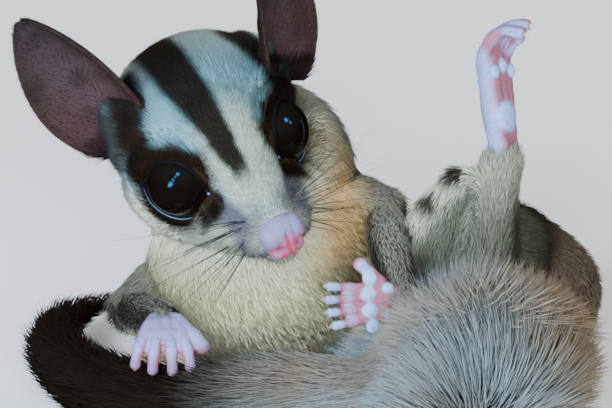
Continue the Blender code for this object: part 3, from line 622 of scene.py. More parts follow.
def tail_places(points):
    """Distance along the tail, from 0 at the rump to 1 at the tip, and its brush radius, for each point."""
    line = spline([(*place, radius) for place, radius in TAIL_LINE], 10)
    steps = np.linalg.norm(np.diff(line[:, :3], axis=0), axis=1)
    travelled = np.concatenate(((0.0,), np.cumsum(steps)))
    nearest = np.concatenate([
        np.linalg.norm(points[start:start + BATCH, None, :] - line[None, :, :3], axis=2).argmin(axis=1)
        for start in range(0, len(points), BATCH)])
    return travelled[nearest] / travelled[-1], line[nearest, 3]


def paint(colours, tone, mask):
    """Lay a colour over the others where the mask says."""
    colours += (np.asarray(tone) - colours) * np.clip(mask, 0.0, 1.0)[:, None]


def near_line(points, line, radius):
    """Soft mask that is 1 along a line of points and 0 past about twice the radius."""
    line = spline(line, 8)
    away = np.min(np.linalg.norm(points[:, None, :] - line[None], axis=2), axis=1)
    return ebb(away, radius * 0.6, radius * 1.5)


def head_frame(points):
    """Points in the head's own frame."""
    return (points - EYE_MIDPOINT) @ HEAD_AXES


def wobble(points, size, seed):
    """Slow wave over the points, from -1 to 1, that makes the markings' edges uneven."""
    chance = np.random.default_rng(seed)
    total = np.zeros(len(points))
    for _ in range(5):
        way = chance.normal(size=3)
        total += np.sin(points @ way / size + chance.uniform(0, 6.28))
    return total / 5


def base_colours(points, tone):
    """One colour for every point, to paint the markings on."""
    return np.tile(np.asarray(tone), (len(points), 1))


def eye_patch(points, side, ragged):
    """Mask of the dark patch round an eye, drawn out towards the nose."""
    axis, nose, rise = eye_frame(side)
    away = points - eye_centre(side)
    ahead, above = away @ nose, away @ rise
    turn = np.arctan2(above, ahead)
    reach = 6.1 + 2.5 * hump(turn, 0.42) + 0.7 * hump(turn - 1.3, 0.7) + 0.3 * ragged
    reach += 0.8 * hump(turn + 1.6, 1.0) + 0.9 * hump(turn + 0.7, 0.5)
    return ebb(np.hypot(ahead, above), reach - 0.5, reach + 0.5) * smooth(away @ axis, -3.0, -1.0)


def face_colours(points, normals, tones):
    """Markings of the head: white brows, dark crown stripe, dark bands to the ears and round the eyes."""
    local = head_frame(points)
    forward, up, left = local.T
    aside = np.abs(left)
    ragged = wobble(points, 0.9, seed=3)
    colours = base_colours(points, tones.forehead)

    # Pale front of the head, greyer and browner towards the nape
    brow = smooth(forward, -9.0, -3.0) * ebb(forward, 3.0, 7.0) * smooth(up, 0.0, 3.0)
    paint(colours, tones.brow, brow * 0.9)
    paint(colours, tones.flank, smooth(-forward - 0.15 * up, 3.0, 9.0) * 0.3)
    paint(colours, tones.flank, smooth(-forward - 0.15 * up, 9.0, 14.0) * 0.8)
    paint(colours, tones.back, smooth(-forward - 0.1 * up, 13.0, 19.0) * 0.8)
    paint(colours, tones.cheek, smooth(-up, 0.5, 5.0))
    paint(colours, tones.chest, smooth(-up, 9.0, 15.0) * 0.45)
    bridge = smooth(forward, -2.0, 4.0) * ebb(aside, 3.0, 5.5) * smooth(up, -3.0, 0.0)
    paint(colours, tones.cheek, bridge * 0.7)
    paint(colours, tones.muzzle, smooth(forward, 9.4, 11.2) * smooth(aside, 0.6, 2.0) * 0.5)
    paint(colours, tones.bare, smooth(forward, 9.5, 11.5) * smooth(-up, 6.5, 8.0) * 0.6)

    # Dark feet of the ears, with a pale tuft in front of the left one
    for name in SIDES:
        foot = np.linalg.norm(local - np.array(EAR_ROOTS[name]) - np.array((1.5, -1.5, 0.0)), axis=1)
        paint(colours, tones.stripe, ebb(foot + 0.5 * ragged, 4.2, 6.4) * 0.85)
    paint(colours, tones.forehead, near_line(local, [(-5.6, 5.0, 13.4), (-4.2, 3.4, 14.0)], 0.9) * 0.7)
    flecks = smooth(wobble(points, 0.28, seed=21), 0.25, 0.7) * smooth(forward, -12.0, -4.0)
    paint(colours, tones.flank, flecks * 0.45)

    # Smudge beside the nose, band from the eye to the ear, and the patch round the eye
    for side in SIDES.values():
        smudge = [(4.6, -1.6, 6.2 * side), (7.4, -2.4, 5.0 * side), (9.6, -3.8, 4.0 * side),
                  (9.8, -6.0, 4.0 * side)]
        paint(colours, tones.muzzle, near_line(local, smudge, 1.7 + 0.3 * ragged) * 0.85)
        band = [(-11.0, 11.8, 9.0 * side), (-8.0, 11.0, 9.4 * side), (-5.2, 8.2, 10.4 * side),
                (-4.0, 4.4, 11.8 * side), (-3.4, 0.5, 13.0 * side)]
        paint(colours, tones.stripe, near_line(local, band, 2.5 + 0.35 * ragged) * 0.97)
        paint(colours, tones.stripe, eye_patch(points, side, ragged))

    # Crown stripe, wider and further to the right ear the further back it is
    middle = -1.0 - 0.09 * np.clip(8.0 - forward, 0, 14)
    half = (1.0 + 0.17 * np.clip(8.0 - forward, 0, 12)) + 0.25 * ragged
    stripe = ebb(np.abs(left - middle), half * 0.78, half * 1.3) * smooth(up - 0.25 * forward, -2.2, 1.0)
    paint(colours, tones.stripe, stripe * ebb(forward, 6.5, 10.5) * 0.98)
    return colours


def spine_stripe(points, ragged):
    """Mask of the dark stripe along the back."""
    line = spline(SPINE, 12)
    nearest = np.linalg.norm(points[:, None, :] - line[None], axis=2).argmin(axis=1)
    way = unit(np.gradient(line, axis=0))[nearest]
    outward = np.array((0.0, 1.0, 0.12))
    rearward = outward - way * (way @ outward)[:, None]
    away = points - line[nearest]
    aside = np.abs(np.sum(away * np.cross(way, unit(rearward)), axis=1))
    behind = np.sum(away * rearward, axis=1) > 2.0
    return ebb(aside, 1.7 + 0.4 * ragged, 3.2 + 0.4 * ragged) * behind


def trunk_colours(points, normals, tones):
    """Cream front, grey flanks and a brown back with its dark stripe along the spine, with painted shade on
    the hips and along the right edge of the neck and shoulder, and painted light on the lower chest.
    """
    x, _, z = points.T
    colours = base_colours(points, tones.cheek)
    ragged = wobble(points, 1.6, seed=5)
    front = smooth(-normals[:, 1] + 0.1 * ragged, -0.05, 0.5)
    paint(colours, tones.chest, smooth(30.0 - z, 0.0, 12.0) * front)
    side = smooth(x, -3.0, 3.0) * smooth(z, 20.0, 27.0) * ebb(z, 38.0, 44.0)
    paint(colours, tones.amber, side * 0.7)
    paint(colours, tones.back, smooth(x, -6.0, 1.0) * smooth(z, 32.0, 38.0) * 0.6)
    # Painted light: the lower chest is painted paler than its cream to make up for the shade of the head and
    # tail
    paint(colours, tones.belly, smooth(20.0 - z, 0.0, 9.0) * 0.85)
    dorsal = normals @ unit(np.array((0.15, 0.95, 0.1))) + 0.12 * ragged
    paint(colours, tones.flank, smooth(dorsal, -0.15, 0.2))
    paint(colours, tones.back, smooth(dorsal, 0.1, 0.6))
    paint(colours, tones.flank, smooth(x, 14.0, 24.0) * 0.8)
    # Painted shade: the hips are darkened all round for the shadow between the raised leg and the tail's root
    paint(colours, tones.stripe, smooth(x, 23.0, 29.0) * 0.85)
    # Painted shade: a dark line along the right edge of the neck and shoulder stands for the shadow behind
    # them
    edge = [(3.0, 17.0, 43.0), (7.5, 17.0, 36.0), (9.0, 15.0, 31.0), (10.5, 12.5, 27.5)]
    paint(colours, tones.stripe, near_line(points, edge, 2.2) * 0.8)
    paint(colours, tones.stripe, spine_stripe(points, ragged) * 0.92)
    return colours


def arm_colours(points, normals, tones):
    """Grey arm, a little paler in front, with painted shade on its sides."""
    colours = base_colours(points, tones.flank)
    paint(colours, tones.leg, smooth(-normals[:, 1], 0.3, 0.9) * 0.35)
    # Painted shade: the arm's sides facing left and right are darkened for the shade beside it
    paint(colours, tones.stripe, smooth(np.abs(normals[:, 0]), 0.55, 0.95) * 0.8)
    return colours


def leg_colours(points, normals, tones):
    """Greenish cream leg, grey towards the tail, brown behind, with painted shade on its side towards the
    tail, and pale at the heel.
    """
    colours = base_colours(points, tones.leg)
    paint(colours, tones.flank, smooth(points[:, 0], 23.0, 29.0) * 0.7)
    paint(colours, tones.back, smooth(normals[:, 1], 0.2, 0.8) * 0.7)
    # Painted shade: the leg's side towards the tail is darkened for the shadow between leg and tail
    paint(colours, tones.stripe, smooth(normals[:, 0], 0.5, 0.9) * 0.75)
    paint(colours, tones.cheek, smooth(points[:, 2], 24.0, 30.0) * 0.42)
    return colours


def membrane_colours(points, normals, tones):
    """Cream underside, painted paler low down as painted light, brown upper side, and a pale fringe with dark
    spots along the free edge.
    """
    ragged = wobble(points, 1.2, seed=8)
    colours = base_colours(points, tones.leg)
    paint(colours, tones.back, smooth(normals[:, 1], 0.0, 0.6))
    # Painted light: the low fold on the floor gets the paler belly tone against the shade there
    paint(colours, tones.belly, smooth(16.0 - points[:, 2], 0.0, 6.0) * (normals[:, 1] < 0.3) * 0.95)
    rim = [(13.6, 4.0, 25.4), (16.6, 8.0, 29.2), (21.4, 11.0, 33.2), (25.0, 13.0, 32.0)]
    paint(colours, tones.cheek, near_line(points, rim, 2.6) * 0.8)
    for spot, size in (((14.4, 5.0, 26.4), 1.5), ((17.8, 8.6, 30.4), 1.9), ((21.8, 11.2, 33.0), 1.6)):
        away = np.linalg.norm(points - np.array(spot), axis=1) + 0.4 * ragged
        paint(colours, tones.stripe, ebb(away, size * 0.8, size * 1.4) * 0.95)
    return colours


def tail_colours(points, normals, tones):
    """Blue-grey brush, beige above, that turns near-black towards the tip, with a painted shadow at its root
    beside the leg.
    """
    along, _ = tail_places(points)
    colours = base_colours(points, tones.tail)
    paint(colours, tones.tail_edge, smooth(points[:, 0], 24.0, 32.0) * 0.9)
    paint(colours, tones.tail_edge, smooth(normals[:, 2], 0.4, 0.95) * 0.55)
    paint(colours, tones.tail_edge, smooth(wobble(points, 2.6, seed=12), 0.1, 0.7) * 0.5)
    paint(colours, tones.back, ebb(along, 0.06, 0.20) * 0.8)
    # Painted shadow: the tail's root is darkened on its side towards the leg
    painted_root_shadow = ebb(along, 0.10, 0.22) * smooth(37.0 - points[:, 0], -1.0, 3.0)
    paint(colours, tones.stripe, painted_root_shadow * 0.85)
    paint(colours, tones.tail_end, smooth(along + 0.02 * wobble(points, 2.0, seed=9), 0.45, 0.60))
    return colours


PAINTERS = {"head": face_colours, "trunk": trunk_colours, "arm": arm_colours, "leg": leg_colours,
            "membrane": membrane_colours, "tail": tail_colours}


def press_lids(obj):
    """Draw the skin over each eyeball up to the rim of its opening, and below the ball inside it."""
    places = millimetres(read_places(obj))
    reach, gap, edge, rim_height, socket_depth = 1.75, 0.12, 0.5, 0.36, 0.9
    for side in SIDES.values():
        centre, nose = eye_centre(side), eye_frame(side)[1]
        distance, way, angle, rim = round_eye(places, side)
        near = (distance < 9.0) & (angle < reach)
        lid = EYE_RADIUS + gap + edge * smooth(angle, rim, rim + 0.18)
        over = smooth(reach - angle, 0.0, 0.45)
        lifted = np.maximum(distance, distance + (lid - distance) * over)
        slope = 4.5 - 2.3 * smooth(way @ nose, 0.3, 0.7)
        ceiling = EYE_RADIUS + rim_height + slope * np.maximum(angle - rim, 0.0)
        lifted = np.where(angle < rim + 0.6, np.minimum(lifted, ceiling), lifted)
        sunk = np.minimum(distance, EYE_RADIUS - socket_depth)
        target = np.where(angle < rim - 0.03, sunk, lifted)
        places[near] = (centre + way * target[:, None])[near]
    write_places(obj, at(places))


def carve_face(obj):
    """Press in the line of the mouth, raise the lips and set the whisker pads."""
    places, normals = read_places(obj), read_normals(obj)
    forward, up, left = head_frame(millimetres(places)).T
    along = (forward - MOUTH_START) / MOUTH_LENGTH
    ease = np.minimum(1.0, 4 * along) * (along > 0) * (along < 1)
    over = up - mouth_height(forward)
    groove = 0.75 * hump(over, 0.45) * ease
    lip = 0.35 * (hump(over - 0.95, 0.55) + hump(over + 0.95, 0.55)) * ease
    pads = 0.3 * hump(np.hypot(forward - 8.6, up + 5.4), 1.6) * (np.abs(left) > 2)
    places += normals * ((lip + pads - groove) * MM)[:, None]
    write_places(obj, places)


def unwrap(obj, cells):
    """Lay a skin out flat: each part and each of six directions gets its own cell of the map."""
    mesh = obj.data
    places = millimetres(read_places(obj))
    count = len(mesh.loops)
    corners = np.empty(count, dtype=np.int64)
    mesh.loops.foreach_get("vertex_index", corners)
    normals = np.empty(len(mesh.polygons) * 3)
    mesh.polygons.foreach_get("normal", normals)
    normals = normals.reshape(-1, 3)
    sizes = np.empty(len(mesh.polygons), dtype=np.int64)
    mesh.polygons.foreach_get("loop_total", sizes)
    starts = np.concatenate(((0,), np.cumsum(sizes)[:-1]))
    part = cells[corners[starts]]
    axis = np.abs(normals).argmax(axis=1)
    facing = np.take_along_axis(normals, axis[:, None], 1)[:, 0] > 0
    cell = np.repeat(part * 6 + axis * 2 + facing, sizes)
    across = np.repeat((axis + 1) % 3, sizes)
    upward = np.repeat((axis + 2) % 3, sizes)
    low, high = places.min(axis=0), places.max(axis=0)
    spread = (places - low) / (high - low).max()
    margin = 0.03
    fill = 1.0 - 2 * margin
    flat = np.empty((count, 2))
    flat[:, 0] = (cell % 6 + margin + fill * spread[corners, across]) / 6
    flat[:, 1] = (cell // 6 + margin + fill * spread[corners, upward]) / (len(PARTS) + 2)
    for name in ("OFBake", "root_uv"):
        layer = mesh.attributes.new(name, "FLOAT2", "CORNER")
        layer.data.foreach_set("vector", flat.astype(np.float32).ravel())


def tail_fan(points, share):
    """Mask of the bend where the tail's brush fans out."""
    away = np.linalg.norm(points - TAIL_FAN, axis=1)
    return hump(away, 15.0) * smooth(points[:, 0], 7.0, 20.0) * share["tail"]


def along_skin(ways, normals):
    """What is left of the ways when they are laid down on the skin."""
    return ways - normals * np.sum(ways * normals, axis=1, keepdims=True)


def fur_lie(points, normals, share, ways):
    """The way that the fur lies: back from the nose, along the limbs, fanned at the tail, round the eyes."""
    from_nose = unit(points - head_point(14.0, -4.0, 0.0))
    ways = ways * (1 - share["head"])[:, None] + from_nose * share["head"][:, None]
    fan = tail_fan(points, share)
    spread = unit((points - TAIL_FAN - np.array((-5.0, 0.0, -10.0))) * np.array((1.0, 0.3, 1.0)))
    lie = unit(along_skin(ways, normals)) * (1 - fan)[:, None] + spread * (1.6 * fan)[:, None]
    lie = along_skin(lie, normals)
    for side in SIDES.values():
        axis = eye_frame(side)[0]
        away = points - eye_centre(side)
        outward = unit(away - axis * (away @ axis)[:, None])
        inward = np.minimum(np.sum(lie * outward, axis=1), 0.25) - 0.25
        close = share["head"] * ebb(np.linalg.norm(away, axis=1), 6.4, 9.0)
        lie -= outward * (inward * close)[:, None]
    unsure = np.linalg.norm(lie, axis=1) < 0.05
    lie[unsure] += np.array((0.3, 0.1, -0.9))
    return unit(along_skin(lie, normals))


def fur_size(points, normals, share):
    """Length of the fur in millimetres and how far it stands up, in radians."""
    length = sum(COAT[name]["length"] * share[name] for name in PARTS)
    lift = sum(math.radians(COAT[name]["lift"]) * share[name] for name in PARTS)

    # The brush fills the tail's radius, softer towards the viewer and flat under the hand
    along, brush = tail_places(points)
    fan = tail_fan(points, share)
    full = smooth(along, 0.10, 0.24)
    brush_length = 2.6 + full * (0.4 + 0.92 * brush - 2.6) + 0.6
    upper = smooth(normals[:, 2], -0.2, 0.7)
    by_hand = hump(points[:, 0] - 10.5, 7.5) * upper
    brush_length *= 1.0 + 0.06 * fan - 0.72 * by_hand
    length += (brush_length - COAT["tail"]["length"]) * share["tail"]
    rise = np.arcsin(np.clip((0.54 * brush + 0.3) / np.maximum(brush_length, 1.0), 0.1, 0.8))
    toward_viewer = smooth(-normals[:, 1], 0.1, 0.8)
    rise *= (0.72 + 0.2 * upper - 0.3 * by_hand) * (1 - 0.42 * toward_viewer)
    rise += fan * upper * (0.52 - 0.36 * toward_viewer) * (1 - by_hand)
    lift += (rise - math.radians(COAT["tail"]["lift"])) * share["tail"] * full

    # The face's fur is shorter towards the nose and round the eyes, longer at the throat and the ears
    local = head_frame(points)
    forward, up, _ = local.T
    head = share["head"]
    closeness = smooth(forward, -6.0, 9.0)
    length += head * (0.9 * smooth(-up, 6.0, 13.0) - 0.95 * closeness)
    lift -= head * closeness * math.radians(2.0)
    for name in SIDES:
        foot = head * ebb(np.linalg.norm(local - np.array(EAR_ROOTS[name]), axis=1), 3.5, 7.0)
        length += foot * 0.9
        lift += foot * 0.12
    for side in SIDES.values():
        distance, _, angle, rim = round_eye(points, side)
        length -= head * (distance < LID_REACH) * ebb(angle, rim + 0.05, rim + 0.45) * 0.55
    chest = share["trunk"] * smooth(-normals[:, 1], 0.0, 0.4)
    lift -= chest * math.radians(4.0)
    length -= chest * 0.8
    return length, lift


def bare_patches(points, share):
    """Mask of the skin without fur: the lids' edges, the nose and the lips."""
    bare = np.zeros(len(points))
    for side in SIDES.values():
        _, nose, rise = eye_frame(side)
        distance, way, angle, rim = round_eye(points, side)
        margin = 0.06 * smooth(-(way @ rise), -0.1, 0.3) + 0.13 * smooth(way @ nose, 0.35, 0.8)
        bare = np.maximum(bare, (distance < LID_REACH) * ebb(angle - margin, rim + 0.04, rim + 0.10))
    nose_tip = head_point(12.6, -5.8, 0)
    bare = np.maximum(bare, ebb(np.linalg.norm(points - nose_tip, axis=1), 2.8, 3.5))
    forward, up, _ = head_frame(points).T
    lips = share["head"] * (forward > 4.5) * ebb(np.abs(up - mouth_height(forward)), 0.35, 0.7)
    return np.maximum(bare, lips)


def dress_skin(obj, clay):
    """Store on the skin its markings, how its fur grows, and where each piece of the coat is planted."""
    tones = bpy.context.scene.glider_colours
    points, normals = millimetres(read_places(obj)), read_normals(obj)
    shares, ways = clay.read(points)
    share = dict(zip(PARTS, shares.T))
    colours = sum(PAINTERS[name](points, normals, tones) * share[name][:, None] for name in PARTS)
    length, lift = fur_size(points, normals, share)
    bare = bare_patches(points, share)
    under = points[:, 2] < UNDERSIDE
    write_colour(obj, colours)
    write_attribute(obj, "lie", fur_lie(points, normals, share, ways), "FLOAT_VECTOR")
    write_attribute(obj, "fur_length", np.maximum(length, 0.5) * MM, "FLOAT")
    write_attribute(obj, "fur_lift", np.where(under, 0.05, np.maximum(lift, 0.08)), "FLOAT")

    covered = (1 - bare) * ~under
    left = head_frame(points)[:, 2] + 0.7
    front = smooth(-normals[:, 1], -0.15, 0.15)
    along, _ = tail_places(points)
    tail = (1 - bare) * share["tail"] * (points[:, 2] > TAIL_UNDERSIDE)
    brush, bend, dark = (smooth(along, *change) for change in (BRUSH_START, BRUSH_BEND, DARK_START))
    for name, mask in {
        "coat_face": covered * share["head"] * smooth(left, -0.01, 0.01),
        "coat_cheek": covered * share["head"] * smooth(-left, -0.01, 0.01),
        "coat_chest": covered * share["trunk"] * front,
        "coat_back": covered * share["trunk"] * (1 - front),
        "coat_limbs": covered * (share["arm"] + share["leg"]),
        "coat_membrane": covered * share["membrane"],
        "coat_tail_root": tail * (1 - brush),
        "coat_brush_fan": tail * brush * (1 - bend),
        "coat_brush_front": tail * bend * (1 - dark),
        "coat_tail_end": tail * dark,
    }.items():
        write_attribute(obj, name, mask, "FLOAT")
    unwrap(obj, shares.argmax(axis=1))


def node_math(nodes, links, operation, first, second=0.5):
    """Math node on one or two values or sockets."""
    node = nodes.new("ShaderNodeMath")
    node.operation = operation
    for socket, value in zip(node.inputs, (first, second)):
        if isinstance(value, (int, float)):
            socket.default_value = value
        else:
            links.new(value, socket)
    return node.outputs[0]


def preset(node, values):
    """Give a node's inputs their values."""
    for name, value in values.items():
        node.inputs[name].default_value = value


def stored(nodes, name):
    """Shader node that reads what a mesh stores under a name."""
    node = nodes.new("ShaderNodeAttribute")
    node.attribute_name = name
    return node


def scaled_by(nodes, links, colour, factor):
    """Colour or way of a socket, times a factor socket."""
    node = nodes.new("ShaderNodeVectorMath")
    node.operation = "SCALE"
    links.new(colour, node.inputs[0])
    links.new(factor, node.inputs["Scale"])
    return node.outputs["Vector"]


def new_group(name, kind, inputs, outputs):
    """Empty node group with named sockets, its nodes and links, and the nodes that hold the sockets."""
    group = bpy.data.node_groups.new(name, kind)
    for direction, sockets in (("INPUT", inputs), ("OUTPUT", outputs)):
        for socket, value in sockets.items():
            group.interface.new_socket(socket, in_out=direction, socket_type="NodeSocket" + value)
    nodes = group.nodes
    return group, nodes, group.links, nodes.new("NodeGroupInput"), nodes.new("NodeGroupOutput")


def pores_group():
    """Shader group: fine mottling and pores of bare skin, as a colour, a roughness and a height."""
    group = bpy.data.node_groups.get("Skin pores")
    if group:
        return group
    group, nodes, links, inlet, outlet = new_group(
        "Skin pores", "ShaderNodeTree",
        {"Colour": "Color", "Pore scale": "Float", "Mottle": "Float", "Dullness": "Float"},
        {"Colour": "Color", "Roughness": "Float", "Height": "Float"})
    place = nodes.new("ShaderNodeTexCoord")
    cells = nodes.new("ShaderNodeTexVoronoi")
    links.new(place.outputs["Object"], cells.inputs["Vector"])
    links.new(inlet.outputs["Pore scale"], cells.inputs["Scale"])
    cloud = nodes.new("ShaderNodeTexNoise")
    preset(cloud, {"Scale": 420.0, "Detail": 3.0})
    links.new(place.outputs["Object"], cloud.inputs["Vector"])
    centred = node_math(nodes, links, "SUBTRACT", cloud.outputs["Fac"], 0.5)
    scaled = node_math(nodes, links, "MULTIPLY", centred, inlet.outputs["Mottle"])
    factor = node_math(nodes, links, "ADD", scaled, 1.0)
    links.new(scaled_by(nodes, links, inlet.outputs["Colour"], factor), outlet.inputs["Colour"])
    gloss = node_math(nodes, links, "MULTIPLY", cloud.outputs["Fac"], 0.35)
    links.new(node_math(nodes, links, "ADD", gloss, inlet.outputs["Dullness"]), outlet.inputs["Roughness"])
    links.new(cells.outputs["Distance"], outlet.inputs["Height"])
    return group


def strand_group():
    """Shader group: a hair's own tone, darker at its root and paler at its tip."""
    group = bpy.data.node_groups.get("Strand tone")
    if group:
        return group
    group, nodes, links, inlet, outlet = new_group(
        "Strand tone", "ShaderNodeTree", {"Colour": "Color", "Variation": "Float", "Root shade": "Float"},
        {"Colour": "Color", "Roughness": "Float"})
    tone, along = stored(nodes, "tuft_tone"), stored(nodes, "tuft_uv")
    split = nodes.new("ShaderNodeSeparateXYZ")
    links.new(along.outputs["Vector"], split.inputs[0])
    centred = node_math(nodes, links, "SUBTRACT", tone.outputs["Fac"], 0.5)
    varied = node_math(nodes, links, "MULTIPLY", centred, inlet.outputs["Variation"])
    lower = node_math(nodes, links, "SUBTRACT", 0.45, split.outputs["X"])
    rooted = node_math(nodes, links, "MULTIPLY", lower, inlet.outputs["Root shade"])
    together = node_math(nodes, links, "SUBTRACT", varied, rooted)
    factor = node_math(nodes, links, "ADD", together, 1.0)
    links.new(scaled_by(nodes, links, inlet.outputs["Colour"], factor), outlet.inputs["Colour"])
    rough = node_math(nodes, links, "MULTIPLY", tone.outputs["Fac"], 0.2)
    links.new(node_math(nodes, links, "ADD", rough, 0.5), outlet.inputs["Roughness"])
    return group


def fresh_material(name):
    """Empty material with its node tree, shader and links."""
    material = bpy.data.materials.new(name)
    material.use_nodes = True
    shader = material.node_tree.nodes["Principled BSDF"]
    return material, material.node_tree.nodes, material.node_tree.links, shader


def fur_material(name, variation, root_shade):
    """Fur whose colour follows the markings."""
    material, nodes, links, shader = fresh_material(name)
    strand = nodes.new("ShaderNodeGroup")
    strand.node_tree = strand_group()
    preset(strand, {"Variation": variation, "Root shade": root_shade})
    links.new(stored(nodes, "fur_colour").outputs["Color"], strand.inputs["Colour"])
    links.new(strand.outputs["Colour"], shader.inputs["Base Color"])
    links.new(strand.outputs["Roughness"], shader.inputs["Roughness"])
    preset(shader, {"Specular IOR Level": 0.02})
    return material


def skin_material(name, pore_scale, mottle, bump, dull=0.28, specular=0.4, coat=0.0, scatter=0.0):
    """Skin or short fur whose colour follows the markings, with pores or grain as bump."""
    material, nodes, links, shader = fresh_material(name)
    pores = nodes.new("ShaderNodeGroup")
    pores.node_tree = pores_group()
    preset(pores, {"Pore scale": pore_scale, "Mottle": mottle, "Dullness": dull})
    links.new(stored(nodes, "fur_colour").outputs["Color"], pores.inputs["Colour"])
    links.new(pores.outputs["Colour"], shader.inputs["Base Color"])
    links.new(pores.outputs["Roughness"], shader.inputs["Roughness"])
    raised = nodes.new("ShaderNodeBump")
    preset(raised, {"Strength": 0.6, "Distance": bump})
    links.new(pores.outputs["Height"], raised.inputs["Height"])
    links.new(raised.outputs["Normal"], shader.inputs["Normal"])
    preset(shader, {"Specular IOR Level": specular, "Coat Weight": coat, "Coat Roughness": 0.25})
    if scatter:
        preset(shader, {"Subsurface Weight": scatter, "Subsurface Radius": (1.0, 0.4, 0.3),
                        "Subsurface Scale": 0.0008})
    return material


def plain_material(name, tone, roughness, coat=0.0, specular=0.5):
    """Glossy or horny surface with fine clouds in its roughness."""
    material, nodes, links, shader = fresh_material(name)
    place = nodes.new("ShaderNodeTexCoord")
    cloud = nodes.new("ShaderNodeTexNoise")
    preset(cloud, {"Scale": 900.0})
    links.new(place.outputs["Object"], cloud.inputs["Vector"])
    spread = node_math(nodes, links, "MULTIPLY", cloud.outputs["Fac"], roughness * 0.5)
    links.new(node_math(nodes, links, "ADD", spread, roughness * 0.75), shader.inputs["Roughness"])
    preset(shader, {"Base Color": (*tone, 1.0), "Coat Weight": coat, "Coat Roughness": 0.03,
                    "Specular IOR Level": specular})
    return material


def ring_pairs(ring):
    """Each corner of a ring with the next one."""
    return zip(ring, ring[1:] + ring[:1])


def join_rings(bm, rings):
    """Faces between each ring of corners and the next ring."""
    for near, far in zip(rings, rings[1:]):
        for (one, two), (one_far, two_far) in zip(ring_pairs(near), ring_pairs(far)):
            bm.faces.new((one, two, two_far, one_far))


def round_section(bm, spot, across, other, radius, sides):
    """Ring of corners round a spot, in the plane of two ways."""
    turns = [2 * math.pi * side / sides for side in range(sides)]
    return [bm.verts.new(spot + radius * (math.cos(turn) * across + math.sin(turn) * other))
            for turn in turns]


def finish_mesh(name, bm):
    """Turn a bmesh into a smooth piece with its faces outwards."""
    bmesh.ops.recalc_face_normals(bm, faces=bm.faces)
    mesh = bpy.data.meshes.new(name)
    bm.to_mesh(mesh)
    bm.free()
    mesh.shade_smooth()
    return new_object(name, mesh)


def give(obj, material):
    """Give a piece one material."""
    obj.data.materials.clear()
    obj.data.materials.append(material)


def make_tuft(name, rings, bend):
    """One closed tapering hair along +X, of length 1 and width 1, that rises and bends over."""
    bm = bmesh.new()
    layer = bm.loops.layers.uv.new("tuft_uv")
    sections = []
    for ring in range(rings):
        share = ring / rings
        width = 0.5 * (1.0 - share ** HAIR_TAPER) + HAIR_TIP
        rise = HAIR_ASPECT * bend * share * (1.0 - share)
        turns = [2 * math.pi * corner / HAIR_SIDES + 0.5 for corner in range(HAIR_SIDES)]
        sections.append([bm.verts.new((share, width * math.cos(turn),
                                       width * HAIR_FLATNESS * math.sin(turn) + rise)) for turn in turns])
    tip = bm.verts.new((1.0, 0.0, 0.0))
    join_rings(bm, sections)
    for near, far in ring_pairs(sections[-1]):
        bm.faces.new((near, far, tip))
    bm.faces.new(sections[0][::-1])
    for face in bm.faces:
        for loop in face.loops:
            loop[layer].uv = (loop.vert.co.x, 0.5 + 0.25 * loop.vert.co.y)
    return finish_mesh(name, bm)


